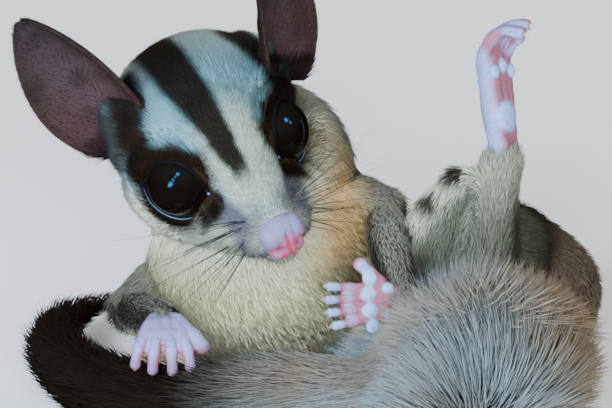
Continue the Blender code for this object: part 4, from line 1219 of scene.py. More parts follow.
def coat_tree():
    """Geometry nodes that plant a tuft on the skin, laid along its lie, and join them into one mesh."""
    tree = bpy.data.node_groups.get("Coat")
    if tree:
        return tree
    tree, nodes, links, inlet, outlet = new_group(
        "Coat", "GeometryNodeTree",
        {"Geometry": "Geometry", "Tuft": "Object", "Material": "Material", "Mask": "String",
         "Density": "Float", "Width": "Float", "Swirl": "Float", "Stray": "Float", "Clump scale": "Float",
         "Seed": "Int"},
        {"Geometry": "Geometry"})

    def named(name, kind):
        node = nodes.new("GeometryNodeInputNamedAttribute")
        node.data_type = kind
        if isinstance(name, str):
            node.inputs["Name"].default_value = name
        else:
            links.new(name, node.inputs["Name"])
        return node.outputs["Attribute"]

    def chance(low, high, offset):
        node = nodes.new("FunctionNodeRandomValue")
        node.data_type = "FLOAT"
        node.inputs[2].default_value = low
        node.inputs[3].default_value = high
        links.new(node_math(nodes, links, "ADD", inlet.outputs["Seed"], offset), node.inputs["Seed"])
        return node.outputs[1]

    def added(first, second):
        node = nodes.new("ShaderNodeVectorMath")
        links.new(first, node.inputs[0])
        links.new(second, node.inputs[1])
        return node.outputs["Vector"]

    scatter = nodes.new("GeometryNodeDistributePointsOnFaces")
    scatter.distribute_method = "RANDOM"
    links.new(inlet.outputs["Geometry"], scatter.inputs["Mesh"])
    mask = named(inlet.outputs["Mask"], "FLOAT")
    density = node_math(nodes, links, "MULTIPLY", mask, inlet.outputs["Density"])
    links.new(density, scatter.inputs["Density"])
    links.new(inlet.outputs["Seed"], scatter.inputs["Seed"])
    normal = scatter.outputs["Normal"]

    toned = nodes.new("GeometryNodeStoreNamedAttribute")
    toned.data_type = "FLOAT"
    toned.domain = "POINT"
    toned.inputs["Name"].default_value = "tuft_tone"
    links.new(scatter.outputs["Points"], toned.inputs["Geometry"])
    links.new(chance(0.0, 1.0, 1), toned.inputs["Value"])

    cloud = nodes.new("ShaderNodeTexNoise")
    cloud.inputs["Detail"].default_value = 2.0
    position = nodes.new("GeometryNodeInputPosition")
    links.new(position.outputs["Position"], cloud.inputs["Vector"])
    links.new(inlet.outputs["Clump scale"], cloud.inputs["Scale"])
    slow = node_math(nodes, links, "SUBTRACT", cloud.outputs["Fac"], 0.5)
    swirl = node_math(nodes, links, "MULTIPLY", slow, inlet.outputs["Swirl"])
    stray = node_math(nodes, links, "MULTIPLY", chance(-1.0, 1.0, 2), inlet.outputs["Stray"])
    turned = nodes.new("ShaderNodeVectorRotate")
    turned.rotation_type = "AXIS_ANGLE"
    links.new(named("lie", "FLOAT_VECTOR"), turned.inputs["Vector"])
    links.new(normal, turned.inputs["Axis"])
    links.new(node_math(nodes, links, "ADD", swirl, stray), turned.inputs["Angle"])
    lift = node_math(nodes, links, "MULTIPLY", named("fur_lift", "FLOAT"), chance(0.6, 1.18, 3))
    flat = scaled_by(nodes, links, turned.outputs["Vector"], node_math(nodes, links, "COSINE", lift))
    raised = scaled_by(nodes, links, normal, node_math(nodes, links, "SINE", lift))
    axes = nodes.new("FunctionNodeAxesToRotation")
    axes.primary_axis = "X"
    axes.secondary_axis = "Z"
    links.new(added(flat, raised), axes.inputs["Primary Axis"])
    links.new(normal, axes.inputs["Secondary Axis"])

    tuft = nodes.new("GeometryNodeObjectInfo")
    links.new(inlet.outputs["Tuft"], tuft.inputs["Object"])
    plant = nodes.new("GeometryNodeInstanceOnPoints")
    links.new(toned.outputs["Geometry"], plant.inputs["Points"])
    links.new(tuft.outputs["Geometry"], plant.inputs["Instance"])
    links.new(axes.outputs["Rotation"], plant.inputs["Rotation"])
    size = nodes.new("ShaderNodeCombineXYZ")
    length = node_math(nodes, links, "MULTIPLY", named("fur_length", "FLOAT"), chance(0.72, 1.08, 4))
    width = node_math(nodes, links, "MULTIPLY", inlet.outputs["Width"], chance(0.75, 1.25, 5))
    bend = node_math(nodes, links, "DIVIDE", length, HAIR_ASPECT)
    links.new(length, size.inputs["X"])
    links.new(width, size.inputs["Y"])
    links.new(bend, size.inputs["Z"])
    links.new(size.outputs["Vector"], plant.inputs["Scale"])

    real = nodes.new("GeometryNodeRealizeInstances")
    links.new(plant.outputs["Instances"], real.inputs["Geometry"])
    patch = nodes.new("ShaderNodeVectorMath")
    patch.operation = "SCALE"
    preset(patch, {"Scale": 0.003})
    links.new(named("tuft_uv", "FLOAT_VECTOR"), patch.inputs[0])
    chart = nodes.new("GeometryNodeStoreNamedAttribute")
    chart.data_type = "FLOAT2"
    chart.domain = "CORNER"
    chart.inputs["Name"].default_value = "OFBake"
    links.new(real.outputs["Geometry"], chart.inputs["Geometry"])
    links.new(added(named("root_uv", "FLOAT_VECTOR"), patch.outputs["Vector"]), chart.inputs["Value"])
    coated = nodes.new("GeometryNodeSetMaterial")
    links.new(chart.outputs["Geometry"], coated.inputs["Geometry"])
    links.new(inlet.outputs["Material"], coated.inputs["Material"])
    links.new(coated.outputs["Geometry"], outlet.inputs["Geometry"])
    return tree


def grow(name, skin, tuft, material, mask, density, width, swirl=0.7, stray=0.22, clump=260.0, seed=1):
    """Plant one piece of the coat and make it a plain mesh."""
    settings = bpy.context.scene.glider_sizes
    tree = coat_tree()
    obj = new_object(name, skin.data.copy())
    modifier = obj.modifiers.new("Coat", "NODES")
    modifier.node_group = tree
    per_square_metre = density / MM ** 2 * settings.coat_density
    values = {"Tuft": tuft, "Material": material, "Mask": mask, "Density": per_square_metre, "Width": width,
              "Swirl": swirl, "Stray": stray, "Clump scale": clump, "Seed": settings.seed + seed}
    for socket in tree.interface.items_tree:
        if socket.item_type == "SOCKET" and socket.in_out == "INPUT" and socket.name in values:
            modifier[socket.identifier] = values[socket.name]
    bake(obj)
    obj.data.name = name
    places = read_places(obj)
    low = places[:, 2] < FRINGE_HIGH
    uneven = np.abs(np.sin(places[low, 0] * FRINGE_WAVE))
    places[low, 2] = FRINGE_LOW + (FRINGE_HIGH - FRINGE_LOW) * uneven
    write_places(obj, places)
    spent = [one.name for one in obj.data.attributes
             if one.name.startswith("coat_") or one.name in ("lie", "fur_length", "fur_lift", "root_uv")]
    for spare in spent:
        obj.data.attributes.remove(obj.data.attributes[spare])
    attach(obj, "root")
    return obj


def tube(bm, line, radii, sides):
    """Closed tapering tube along a line of places in metres."""
    line = np.asarray(line, float)
    ways = unit(np.gradient(line, axis=0))
    across = unit(np.cross(ways[0], (0.13, 0.27, 0.95)))
    rings = []
    for spot, way, radius in zip(line, ways, radii):
        across = unit(across - way * across.dot(way))
        rings.append(round_section(bm, spot, across, np.cross(way, across), radius, sides))
    join_rings(bm, rings)
    bm.faces.new(rings[0][::-1])
    bm.faces.new(rings[-1])


def ring_tube(bm, line, radius, sides):
    """Closed ring of a round section through the places of a closed line."""
    middle = line.mean(axis=0)
    rings = []
    for index, spot in enumerate(line):
        way = unit(line[(index + 1) % len(line)] - line[index - 1])
        across = spot - middle
        across = unit(across - way * across.dot(way))
        rings.append(round_section(bm, spot, across, np.cross(way, across), radius, sides))
    join_rings(bm, rings + rings[:1])


class GLIDER_OT_skin(bpy.types.Operator):
    """Press the body's skin out of one clay, draw the lids over the eyes and paint the markings"""
    bl_idname = "glider.skin"
    bl_label = "Skin"

    def execute(self, context):
        clay = Clay()
        for shape in (head_clay, trunk_clay, limb_clay, membrane_clay, tail_clay):
            shape(clay)
        skin = clay.press("skin", context.scene.glider_sizes.skin_grain, rounds=7)
        flatten_on_floor(skin)
        press_lids(skin)
        carve_face(skin)
        dress_skin(skin, clay)
        give(skin, skin_material("fur_ground", pore_scale=2600.0, mottle=0.5, bump=0.00012, dull=0.62,
                                 specular=0.02))
        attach(skin, "root")
        limbs = (part + side for side in SIDES for part in ("upper_arm_", "forearm_", "thigh_", "shin_"))
        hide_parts("head", "neck", "chest", "belly", "hips", "membrane_left", "membrane_right", *limbs,
                    "tail_root", "tail_rise", "tail_brush", "tail_dark", "tail_tip")
        return {"FINISHED"}


def paw_axes(paw):
    """Ways along, across and out of the palm of a paw."""
    along = unit(np.array(paw["along"], float))
    palm = np.array(paw["palm"], float)
    palm = unit(palm - along * palm.dot(along))
    return along, np.cross(palm, along), palm


def digit_line(paw, digit):
    """Line of a curled digit, with the way on and the way out of its pad at the tip."""
    along, across, palm = paw_axes(paw)
    offset, spread, reach, _, curl, _ = digit
    root = np.array(paw["wrist"], float) + along * paw["length"] * (1.0 if abs(offset) < 1.0 else 0.6)
    root = root + across * paw["width"] * 0.66 * offset
    heading = unit(along * math.cos(spread) + across * math.sin(spread))
    line = [root + (heading * math.sin(curl * share) + palm * (1 - math.cos(curl * share))) * reach / curl
            for share in np.linspace(0, 1, 7)]
    onward = heading * math.cos(curl) + palm * math.sin(curl)
    return line, onward, palm * math.cos(curl) - heading * math.sin(curl)


def paw_clay(clay, paw):
    """Palm or sole with its pads and its digits: gives back each claw's root, its ways and its length."""
    along, across, palm = paw_axes(paw)
    wrist = np.array(paw["wrist"], float)
    length, width, thickness = paw["length"], paw["width"], paw["thickness"]
    turn = np.array((along, across, palm)).T
    claws = []
    for share in np.linspace(0, 1, 7):
        half = width * (0.58 + 0.30 * math.sin(math.pi * 0.5 * share))
        for aside in (-0.45, 0.0, 0.45):
            clay.ball("arm", wrist + along * length * share + across * half * aside,
                      (length * 0.26, half * 0.58, thickness * 0.74), turn=turn)
    for digit in paw["digits"]:
        offset, _, _, radius, _, claw = digit
        line, onward, under = digit_line(paw, digit)
        taper = 0.30 if claw else 0.12
        knuckles = [0.07 * math.cos(4 * math.pi * share) * (share > 0.1) for share in np.linspace(0, 1, 7)]
        sizes = [radius * (1.0 - taper * share + knuckle)
                 for share, knuckle in zip(np.linspace(0, 1, 7), knuckles)]
        clay.trail("arm", list(zip(line, sizes)), steps=3)
        root = line[0]
        back = wrist + across * width * 0.3 * offset - palm * thickness * 0.2
        clay.trail("arm", ((back, radius * 0.7), ((back + root) / 2 - palm * thickness * 0.42, radius * 0.72),
                           (root - palm * radius * 0.15, radius * 0.98)), steps=10)
        tip = line[-1]
        pad = np.array((onward, np.cross(under, onward), under)).T
        shape = np.array((1.1, 0.74 if claw else 0.85, 0.7))
        clay.ball("arm", tip - onward * radius + under * radius * 0.28, shape * radius, turn=pad)
        if claw:
            claws.append((tip, onward, under, claw))
    for share, offset, size in paw["pads"]:
        centre = wrist + along * length * share + across * width * offset + palm * thickness * 0.62
        clay.ball("arm", centre, (size, size * 0.92, thickness * 0.30), turn=turn)
    return claws


def paw_colours(points, normals, tones):
    """Pale pads, red creases between them and lavender pink backs, with pale blue painted highlights on the
    backs, the feet's sides and the middle joints.
    """
    colours = base_colours(points, tones.bare)
    for paw in PAWS.values():
        along, across, palm = paw_axes(paw)
        wrist = np.array(paw["wrist"], float)
        length, width, thickness = paw["length"], paw["width"], paw["thickness"]
        foot = length > FOOT_LENGTH
        back, inside = -normals @ palm, normals @ palm
        reach = length * 0.9
        middle = wrist + along * length * 0.6
        near = ebb(np.linalg.norm(points - middle, axis=1), reach + 4.0, reach + 8.0)
        # Painted highlight: pale blue laid over the back of each paw
        paint(colours, tones.pad, smooth(back, 0.1, 0.8) * near * (0.5 if foot else 0.25))
        paint(colours, tones.crease, smooth(inside, 0.05, 0.6) * near * (0.65 if foot else 0.8))
        # Painted highlight: pale blue on the sides of the feet
        if foot:
            paint(colours, tones.pad, smooth(np.abs(normals @ across), 0.35, 0.85) * near * 0.55)
        for share, offset, size in paw["pads"]:
            centre = wrist + along * length * share + across * width * offset + palm * thickness * 0.9
            away = np.linalg.norm(points - centre, axis=1)
            paint(colours, tones.pad, ebb(away, size * 0.75, size * 1.2))
        for digit in paw["digits"]:
            radius = digit[3]
            line, onward, under = digit_line(paw, digit)
            tip = line[-1] + under * radius * 0.5 - onward * radius * 0.5
            away = np.linalg.norm(points - tip, axis=1) / radius
            paint(colours, tones.pad, ebb(away, 0.8, 1.5) * smooth(normals @ under, -0.2, 0.4) * 0.9)
            # Painted highlight: pale spots on the back of each digit's middle joint; on the palm side they
            # are partly pale skin and partly painted highlight
            away = np.linalg.norm(points - line[3], axis=1) / radius
            paint(colours, tones.pad, ebb(away, 0.9, 1.9) * smooth(back, 0.0, 0.6) * 0.3)
            paint(colours, tones.pad, ebb(away, 0.7, 1.5) * smooth(inside, 0.0, 0.5) * 0.5)
            side = smooth(np.abs(normals @ np.cross(under, onward)), 0.5, 0.9)
            paint(colours, tones.crease, ebb(away, 1.4, 2.6) * side * 0.8)
    paint(colours, tones.crease, smooth(wobble(points, 0.3, seed=15), 0.1, 0.7) * 0.35)
    return colours


def claw_tube(bm, tip, onward, under, length):
    """One claw that bends down from the tip of its digit and stays off the floor."""
    shares = np.linspace(0, 1, 9)
    line = np.array([tip + onward * (share * length - 0.1) + under * (0.6 * length * share * share - 0.3)
                     for share in shares])
    line[:, 2] = np.maximum(line[:, 2], 0.5)
    radii = [max(0.44 * (1 - share ** 1.3), 0.04) * MM for share in shares]
    tube(bm, at(line), radii, sides=8)


class GLIDER_OT_paws(bpy.types.Operator):
    """Model the four bare paws with their pads and the claws on their digits"""
    bl_idname = "glider.paws"
    bl_label = "Paws and claws"

    def execute(self, context):
        tones = context.scene.glider_colours
        material = skin_material("bare_skin", pore_scale=2400.0, mottle=0.45, bump=0.00012, coat=0.25,
                                 scatter=0.12)
        claws = bmesh.new()
        for name, paw in PAWS.items():
            clay = Clay()
            for claw in paw_clay(clay, paw):
                claw_tube(claws, *claw)
            obj = clay.press(name + "_skin", context.scene.glider_sizes.paw_grain, rounds=3)
            flatten_on_floor(obj)
            write_colour(obj, paw_colours(millimetres(read_places(obj)), read_normals(obj), tones))
            give(obj, material)
            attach(obj, "root")
            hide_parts(name)
        obj = finish_mesh("claws", claws)
        give(obj, plain_material("horn", tones.claw, roughness=0.3, coat=0.4))
        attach(obj, "root")
        return {"FINISHED"}


class GLIDER_OT_nose(bpy.types.Operator):
    """Model the bare nose pad with its nostrils and middle groove"""
    bl_idname = "glider.nose"
    bl_label = "Nose"

    def execute(self, context):
        tones = context.scene.glider_colours
        clay = Clay()
        middle = ((12.4, -5.6, 2.8, 3.1, 3.0), (12.7, -7.4, 2.2, 2.0, 2.1), (12.0, -9.0, 1.8, 1.3, 1.9),
                  (10.9, -4.6, 2.4, 2.4, 2.9))
        for forward, up, *radii in middle:
            clay.ball("head", head_point(forward, up, 0), radii, turn=HEAD_AXES)
        for side in SIDES.values():
            clay.ball("head", head_point(12.6, -5.6, 1.75 * side), (2.5, 2.4, 1.65), turn=HEAD_AXES)
            clay.ball("head", head_point(12.5, -7.6, 1.3 * side), (2.1, 1.9, 1.5), turn=HEAD_AXES)
        obj = clay.press("nose_pad", context.scene.glider_sizes.nose_grain, rounds=5)
        places, normals = read_places(obj), read_normals(obj)
        points = millimetres(places)
        forward, up, left = head_frame(points).T
        aside = np.abs(left)
        front = smooth(forward, 11.6, 12.8)
        nostril = hump(aside - 1.9, 0.55) * hump(up + 7.0, 0.6) * front
        slit = hump(aside - 2.6, 0.6) * hump(up + 6.7 + 0.9 * (aside - 2.4), 0.3)
        slit *= smooth(forward, 10.4, 11.8)
        groove = hump(left, 0.26) * smooth(-up, 4.0, 5.0) * front
        places -= normals * ((1.25 * nostril + 0.5 * slit + 0.42 * groove) * MM)[:, None]
        write_places(obj, places)
        colours = base_colours(points, tones.nose)
        # Painted highlight: paler blue-white towards the top of the pad
        paint(colours, tones.pad, ebb(-up, 3.2, 6.4) * 0.2)
        paint(colours, tones.muzzle, smooth(up, -4.6, -2.8) * 0.5)
        paint(colours, tones.nose_groove, smooth(-up, 6.2, 8.8) * 0.42)
        # Painted shade: the pad's left lobe is painted a deeper pink for the shade on it
        paint(colours, tones.nose_groove, smooth(left, 0.8, 2.6) * smooth(-up, 4.2, 6.0) * 0.2)
        paint(colours, tones.nose_groove, hump(left, 0.95) * smooth(-up, 4.4, 6.0) * 0.9)
        paint(colours, tones.nose_groove, np.clip(nostril * 1.2 + slit * 0.8, 0, 1) * 0.9)
        # Painted shade: the bottoms of the shallow nostrils are painted dark for the shade inside them
        paint(colours, tones.lid, np.clip(nostril * 1.6 - 0.75, 0, 1))
        write_colour(obj, colours)
        give(obj, skin_material("nose_skin", pore_scale=2100.0, mottle=0.35, bump=0.00009, dull=0.34,
                                coat=0.15, scatter=0.15))
        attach(obj, "root")
        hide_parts("nose")
        return {"FINISHED"}


def rim_line(side, turns, lift, inward):
    """Places in millimetres along the rim of an eye's opening, a little over the eyeball."""
    centre, (axis, nose, rise) = eye_centre(side), eye_frame(side)
    line = []
    for turn in turns:
        half = opening(turn) + inward
        way = axis * math.cos(half) + (nose * math.cos(turn) + rise * math.sin(turn)) * math.sin(half)
        line.append(centre + way * (EYE_RADIUS + lift))
    return np.array(line)


def wet_line(bm, side, turns):
    """Wet line along the lower lid, thin at its ends and pale blue as a painted reflection, with a pale ball
    in the corner at the nose as a painted glint.
    """
    lift, inward, radius, corner_glint_lift, corner_glint_radius = 0.43, 0.010, 0.125 * MM, 0.3, 0.30 * MM
    lower = [index for index, turn in enumerate(turns) if math.sin(turn) < -0.05 or index < 3]
    lower.sort(key=lambda index: (turns[index] + math.pi) % (2 * math.pi))
    sizes = [radius * max(0.25, math.sin(math.pi * (step + 0.5) / len(lower)) ** 0.4)
             for step in range(len(lower))]
    tube(bm, at(rim_line(side, turns, lift, inward)[lower]), sizes, sides=6)
    # Painted glint: a small pale ball in the corner at the nose
    corner_glint = bmesh.ops.create_icosphere(bm, subdivisions=2, radius=corner_glint_radius)
    bmesh.ops.translate(bm, verts=corner_glint["verts"], vec=at(rim_line(side, (0.0,), corner_glint_lift, 0.0)[0]))


class GLIDER_OT_eyes(bpy.types.Operator):
    """Model the large dark eyes with their cornea, the lid rims, and the wet line of the lower lids with its
    painted reflection and painted glint
    """
    bl_idname = "glider.eyes"
    bl_label = "Eyes and lids"

    def execute(self, context):
        tones = context.scene.glider_colours
        iris = plain_material("eye", tones.eye, roughness=0.03, specular=0.18)
        turns = np.linspace(0, 2 * math.pi, 73)[:-1]
        rims, wet = bmesh.new(), bmesh.new()
        for name, side in SIDES.items():
            axis, nose, rise = eye_frame(side)
            bm = bmesh.new()
            bmesh.ops.create_uvsphere(bm, u_segments=56, v_segments=36, radius=1.0)
            turn = np.array((nose, rise, axis)).T
            for vertex in bm.verts:
                way = np.array(vertex.co)
                bulge = 0.28 * smooth(way[2], 0.45, 0.95)
                vertex.co = at(eye_centre(side) + turn @ (way * (EYE_RADIUS - 0.02 + bulge)))
            obj = finish_mesh("eyeball_" + name, bm)
            give(obj, iris)
            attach(obj, "root")
            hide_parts("eye_" + name)
            ring_tube(rims, at(rim_line(side, turns, lift=0.24, inward=0.035)), 0.30 * MM, sides=8)
            wet_line(wet, side, turns)
        obj = finish_mesh("lid_rims", rims)
        give(obj, plain_material("lid_skin", tones.lid, roughness=0.6, specular=0.15))
        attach(obj, "root")
        # Painted reflection: the wet lines and the corner glints get a pale blue-grey tone
        obj = finish_mesh("lid_wet_lines", wet)
        give(obj, plain_material("wet_lid", tones.wet_lid, roughness=0.12, coat=0.6))
        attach(obj, "root")
        return {"FINISHED"}


def ear_axes(side):
    """Ways along an ear, across it and out of its opening."""
    along = unit(HEAD_AXES @ np.array((-0.28, 0.86, 0.42 * side)))
    facing = HEAD_AXES @ np.array((0.80, 0.0, 0.60 * side))
    facing = unit(facing - along * facing.dot(along))
    return along, np.cross(along, facing), facing


def ear_outline(share):
    """Share of the ear's full width at a share of its length."""
    return np.sin(math.pi * (0.16 + 0.832 * share)) ** 0.62


def ear_surface(name, share, aside):
    """Place of the ear's sheet at a share of its length and of its half width, in millimetres."""
    side = SIDES[name]
    along, across, facing = ear_axes(side)
    curl = math.radians(62 - 26 * share)
    bend = EAR_WIDTH / 2 * ear_outline(share) / math.sin(curl)
    angle = curl * aside
    fold = 0.22 * math.sin(9.0 * math.pi * share) * hump(aside * side + 0.35, 0.35) * (share < 0.8)
    depth = bend * (1 - math.cos(angle)) - 2.2 * share * share - 2.0 + fold
    reach = EAR_LENGTH * (share - 0.06)
    return head_point(*EAR_ROOTS[name]) + along * reach + across * bend * math.sin(angle) + facing * depth


def ear_sheet(name):
    """Ear as a thin closed shell."""
    columns, rows = 36, 48
    bm = bmesh.new()
    grid = [[bm.verts.new(at(ear_surface(name, row / rows, 2 * column / columns - 1)))
             for column in range(columns + 1)] for row in range(rows + 1)]
    for low, high in zip(grid, grid[1:]):
        for column in range(columns):
            bm.faces.new((low[column], low[column + 1], high[column + 1], high[column]))
    obj = finish_mesh("ear_shell_" + name, bm)
    wall = obj.modifiers.new("Wall", "SOLIDIFY")
    wall.thickness = EAR_WALL * MM
    wall.offset = 0.0
    bake(obj)
    bm = bmesh.new()
    bm.from_mesh(obj.data)
    bmesh.ops.recalc_face_normals(bm, faces=bm.faces)
    bm.to_mesh(obj.data)
    bm.free()
    obj.data.shade_smooth()
    return obj


def dress_ear(obj, name):
    """Markings of an ear and how its short fur grows: dense at foot and rim, sparse inside."""
    tones = bpy.context.scene.glider_colours
    points, normals = millimetres(read_places(obj)), read_normals(obj)
    side = SIDES[name]
    along, across, facing = ear_axes(side)
    away = points - head_point(*EAR_ROOTS[name])
    height = away @ along / EAR_LENGTH
    aside = away @ across
    middle = np.abs(aside) / (EAR_WIDTH / 2)
    inner = smooth(normals @ facing, -0.1, 0.3)
    foot = ebb(height + 0.10 * inner, 0.06, 0.24)
    # The ear's base tone is its own dark brown with painted shade in it
    colours = base_colours(points, tones.ear)
    paint(colours, tones.crease, inner * ebb(height, 0.2, 0.7) * 0.04)
    paint(colours, tones.bare, inner * ebb(middle, 0.2, 0.9) * 0.05)
    paint(colours, tones.lid, smooth(height, 0.5, 1.0) * 0.45)
    paint(colours, tones.lid, smooth(wobble(points, 1.8, seed=4), 0.0, 0.8) * 0.35)
    paint(colours, tones.lid, foot * 0.5)
    write_colour(obj, colours)
    width = np.maximum(ear_outline(np.clip(height, 0, 1)), 0.2)
    rim = np.maximum(smooth(middle / width, 0.86, 0.97), smooth(height, 0.86, 0.93))
    lie = along + 0.5 * np.sign(aside)[:, None] * across
    write_attribute(obj, "lie", unit(along_skin(lie, normals)), "FLOAT_VECTOR")
    write_attribute(obj, "fur_length", (0.7 + 1.9 * foot) * MM, "FLOAT")
    write_attribute(obj, "fur_lift", 0.1 + 0.25 * foot, "FLOAT")
    write_attribute(obj, "coat_ear", np.clip(0.55 - 0.35 * inner + foot + 0.5 * rim, 0, 1), "FLOAT")
    unwrap(obj, np.full(len(points), len(PARTS) + (side < 0), dtype=np.int64))


class GLIDER_OT_ears(bpy.types.Operator):
    """Model the thin cupped ears with their folds, and the short fur on them"""
    bl_idname = "glider.ears"
    bl_label = "Ears"

    def execute(self, context):
        fuzz = make_tuft("ear_hair", rings=1, bend=0.0)
        fur = fur_material("ear_fur", variation=0.25, root_shade=-0.1)
        material = skin_material("ear_skin", pore_scale=1500.0, mottle=0.45, bump=0.00006, dull=0.5,
                                 specular=0.04)
        width = context.scene.glider_sizes.face_hair_width * 0.6
        for name in SIDES:
            obj = ear_sheet(name)
            dress_ear(obj, name)
            give(obj, material)
            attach(obj, "root")
            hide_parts("ear_" + name)
            coat = grow("coat_ear_" + name, obj, fuzz, fur, "coat_ear", 24.0, width, seed=20)
        bpy.data.objects.remove(fuzz)
        return {"FINISHED"}


class GLIDER_OT_coat(bpy.types.Operator):
    """Grow the short face fur and the soft coat of the body, the limbs and the gliding skin"""
    bl_idname = "glider.coat"
    bl_label = "Coat"

    def execute(self, context):
        sizes = context.scene.glider_sizes
        skin = bpy.data.objects["skin"]
        short = make_tuft("short_hair", rings=1, bend=0.0)
        soft = make_tuft("soft_hair", rings=2, bend=0.25)
        face = fur_material("face_fur", variation=0.40, root_shade=0.30)
        body = fur_material("body_fur", variation=0.30, root_shade=0.15)
        for name, tuft, material, slot, density, width, seed in (
                ("coat_face", short, face, "face_fur", 34.0, sizes.face_hair_width, 1),
                ("coat_cheek", short, face, "face_fur", 34.0, sizes.face_hair_width, 2),
                ("coat_chest", soft, body, "body_fur", 11.5, sizes.hair_width, 3),
                ("coat_back", soft, body, "body_fur", 5.6, sizes.hair_width * 1.35, 4),
                ("coat_limbs", soft, body, "limb_fur", 9.5, sizes.hair_width * 0.9, 5),
                ("coat_membrane", soft, body, "membrane_fur", 10.0, sizes.hair_width * 0.9, 6)):
            obj = grow(name, skin, tuft, material, name, density, width, seed=seed)
        for tuft in (short, soft):
            bpy.data.objects.remove(tuft)
        return {"FINISHED"}


class GLIDER_OT_tail_coat(bpy.types.Operator):
    """Grow the long bushy coat of the tail"""
    bl_idname = "glider.tail_coat"
    bl_label = "Tail coat"

    def execute(self, context):
        sizes = context.scene.glider_sizes
        skin = bpy.data.objects["skin"]
        long = make_tuft("long_hair", rings=3, bend=0.35)
        material = fur_material("tail_fur", variation=0.45, root_shade=0.35)
        for name, slot, density, seed in (
                ("coat_tail_root", "tail_fur", 9.0, 7), ("coat_brush_fan", "tail_fur", 15.0, 8),
                ("coat_brush_front", "tail_fur", 15.0, 10), ("coat_tail_end", "tail_dark_fur", 8.5, 9)):
            obj = grow(name, skin, long, material, name, density, sizes.tail_hair_width, swirl=0.9,
                       stray=0.25, clump=300.0, seed=seed)
        bpy.data.objects.remove(long)
        return {"FINISHED"}


class GLIDER_OT_whiskers(bpy.types.Operator):
    """Draw the whiskers of the muzzle and brows from the skin"""
    bl_idname = "glider.whiskers"
    bl_label = "Whiskers"

    def execute(self, context):
        skin = bpy.data.objects["skin"]
        tree = BVHTree.FromPolygons([tuple(place) for place in read_places(skin)],
                                    [tuple(face.vertices) for face in skin.data.polygons])
        chance = random.Random(context.scene.glider_sizes.seed)
        thick = context.scene.glider_sizes.whisker_width / 2
        shares = np.linspace(0, 1, 14)
        bm = bmesh.new()
        for side in SIDES.values():
            for (forward, up, left), way, length, droop in WHISKERS:
                for copy in range(2):
                    jitter = [chance.uniform(-0.14, 0.14) for _ in range(3)]
                    start = head_point(forward + 2 * jitter[0], up + 2 * jitter[1], left * side)
                    root = millimetres(tree.find_nearest(Vector(at(start)))[0])
                    way_out = np.array((way[0] + jitter[0], way[1] + jitter[1], way[2] * side))
                    heading = unit(HEAD_AXES @ way_out)
                    reach = length * chance.uniform(0.8, 1.05) * (1.0 if copy == 0 else 0.7)
                    line = [root + heading * (reach * share - 0.3) + HEAD_UP * (-droop * share * share)
                            - HEAD_FORWARD * (0.22 * reach * share * share) for share in shares]
                    tube(bm, at(line), thick * (1.0 - 0.82 * shares), sides=4)
        obj = finish_mesh("whiskers", bm)
        give(obj, plain_material("whisker", context.scene.glider_colours.whisker, roughness=0.4))
        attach(obj, "root")
        return {"FINISHED"}


def area_light(name, place, target, size, power, tone, mirrored=False):
    """Square light that looks at a target, in metres: soft, or mirrored and seen only in reflections."""
    data = bpy.data.lights.new(name, "AREA")
    data.size = size
    data.energy = power
    data.color = tone
    lamp = bpy.data.objects.new(name, data)
    lamp.location = place
    lamp.rotation_euler = (Vector(target) - Vector(place)).to_track_quat("-Z", "Y").to_euler()
    lamp.visible_glossy = mirrored
    lamp.visible_diffuse = not mirrored
    bpy.context.scene.collection.objects.link(lamp)


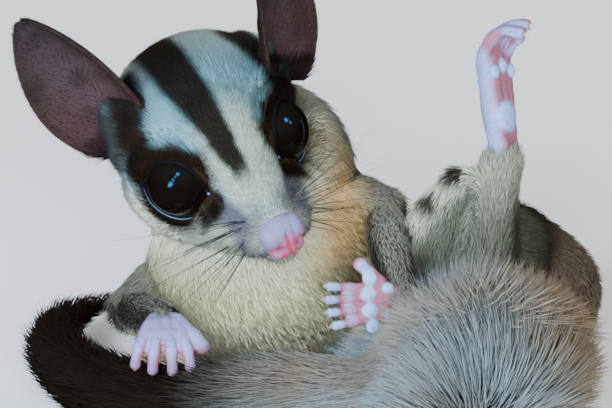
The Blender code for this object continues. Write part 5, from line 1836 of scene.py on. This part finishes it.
class GLIDER_OT_stage(bpy.types.Operator):
    """Set the pale floor, the soft studio light and the camera of the photograph"""
    bl_idname = "glider.stage"
    bl_label = "Stage"

    def execute(self, context):
        bm = bmesh.new()
        bmesh.ops.create_grid(bm, x_segments=2, y_segments=2, size=3.0)
        floor = finish_mesh("floor", bm)
        material, _, _, shader = fresh_material("floor_paint")
        preset(shader, {"Base Color": (0.82, 0.81, 0.79, 1.0), "Roughness": 0.85})
        give(floor, material)
        floor.visible_glossy = False

        # Studio walls: brighter from the viewer's side, and dark below the horizon
        world = bpy.data.worlds.new("studio")
        world.use_nodes = True
        nodes, links = world.node_tree.nodes, world.node_tree.links
        place = nodes.new("ShaderNodeTexCoord")
        split = nodes.new("ShaderNodeSeparateXYZ")
        links.new(place.outputs["Generated"], split.inputs[0])
        forward = node_math(nodes, links, "MULTIPLY", split.outputs["Y"], -0.26)
        upper = node_math(nodes, links, "MULTIPLY", split.outputs["Z"], 1.5)
        upper.node.use_clamp = True
        strength = node_math(nodes, links, "MULTIPLY", node_math(nodes, links, "ADD", forward, 0.34), upper)
        links.new(strength, nodes["Background"].inputs["Strength"])
        preset(nodes["Background"], {"Color": (0.84, 0.90, 0.97, 1.0)})
        context.scene.world = world

        area_light("key", *LIGHTS["key"])
        for number, (place, size, power) in enumerate(PANES):
            area_light("pane_%d" % number, place, PANE_TARGET, size, power * PANE_POWER, PANE_TONE,
                       mirrored=True)
        for name in ("front", "fill", "back"):
            area_light(name, *LIGHTS[name])

        data = bpy.data.cameras.new("camera")
        camera = bpy.data.objects.new("camera", data)
        context.scene.collection.objects.link(camera)
        backward = Vector((0.0, -math.cos(CAMERA_HEIGHT), math.sin(CAMERA_HEIGHT)))
        upward = Vector((0.0, math.sin(CAMERA_HEIGHT), math.cos(CAMERA_HEIGHT)))
        place = Vector(at(CAMERA_TARGET)) + backward * (CAMERA_DISTANCE * MM)
        axes = Matrix((Vector((1.0, 0.0, 0.0)), upward, backward)).transposed()
        camera.matrix_world = Matrix.Translation(place) @ axes.to_4x4()
        data.sensor_width = SENSOR_WIDTH
        data.lens = SENSOR_WIDTH * CAMERA_DISTANCE / (PICTURE_WIDTH / PIXELS_TO_MM)
        data.clip_start = 0.01
        context.scene.camera = camera
        return {"FINISHED"}


PIECES = (GLIDER_OT_skin, GLIDER_OT_paws, GLIDER_OT_nose, GLIDER_OT_eyes, GLIDER_OT_ears, GLIDER_OT_coat,
          GLIDER_OT_tail_coat, GLIDER_OT_whiskers, GLIDER_OT_stage)


class GLIDER_PT_pieces(bpy.types.Panel):
    """Sizes, colours and pieces of the glider"""
    bl_idname = "GLIDER_PT_pieces"
    bl_label = "Sugar glider"
    bl_space_type = "VIEW_3D"
    bl_region_type = "UI"
    bl_category = "Glider"

    def draw(self, context):
        for name in GliderSizes.__annotations__:
            self.layout.prop(context.scene.glider_sizes, name)
        for name in GliderColours.__annotations__:
            self.layout.prop(context.scene.glider_colours, name)
        for piece in PIECES:
            self.layout.operator(piece.bl_idname)


CLASSES = (GliderSizes, GliderColours, *PIECES, GLIDER_PT_pieces)


def register():
    """Register the classes and the scene's settings."""
    for one in CLASSES:
        bpy.utils.register_class(one)
    bpy.types.Scene.glider_sizes = bpy.props.PointerProperty(type=GliderSizes)
    bpy.types.Scene.glider_colours = bpy.props.PointerProperty(type=GliderColours)


def unregister():
    """Take the classes and the scene's settings away."""
    del bpy.types.Scene.glider_colours
    del bpy.types.Scene.glider_sizes
    for one in reversed(CLASSES):
        bpy.utils.unregister_class(one)


def main():
    """Make every piece in order."""
    register()
    for piece in PIECES:
        space, call = piece.bl_idname.split(".")
        getattr(getattr(bpy.ops, space), call)()


if __name__ == "__main__":
    main()
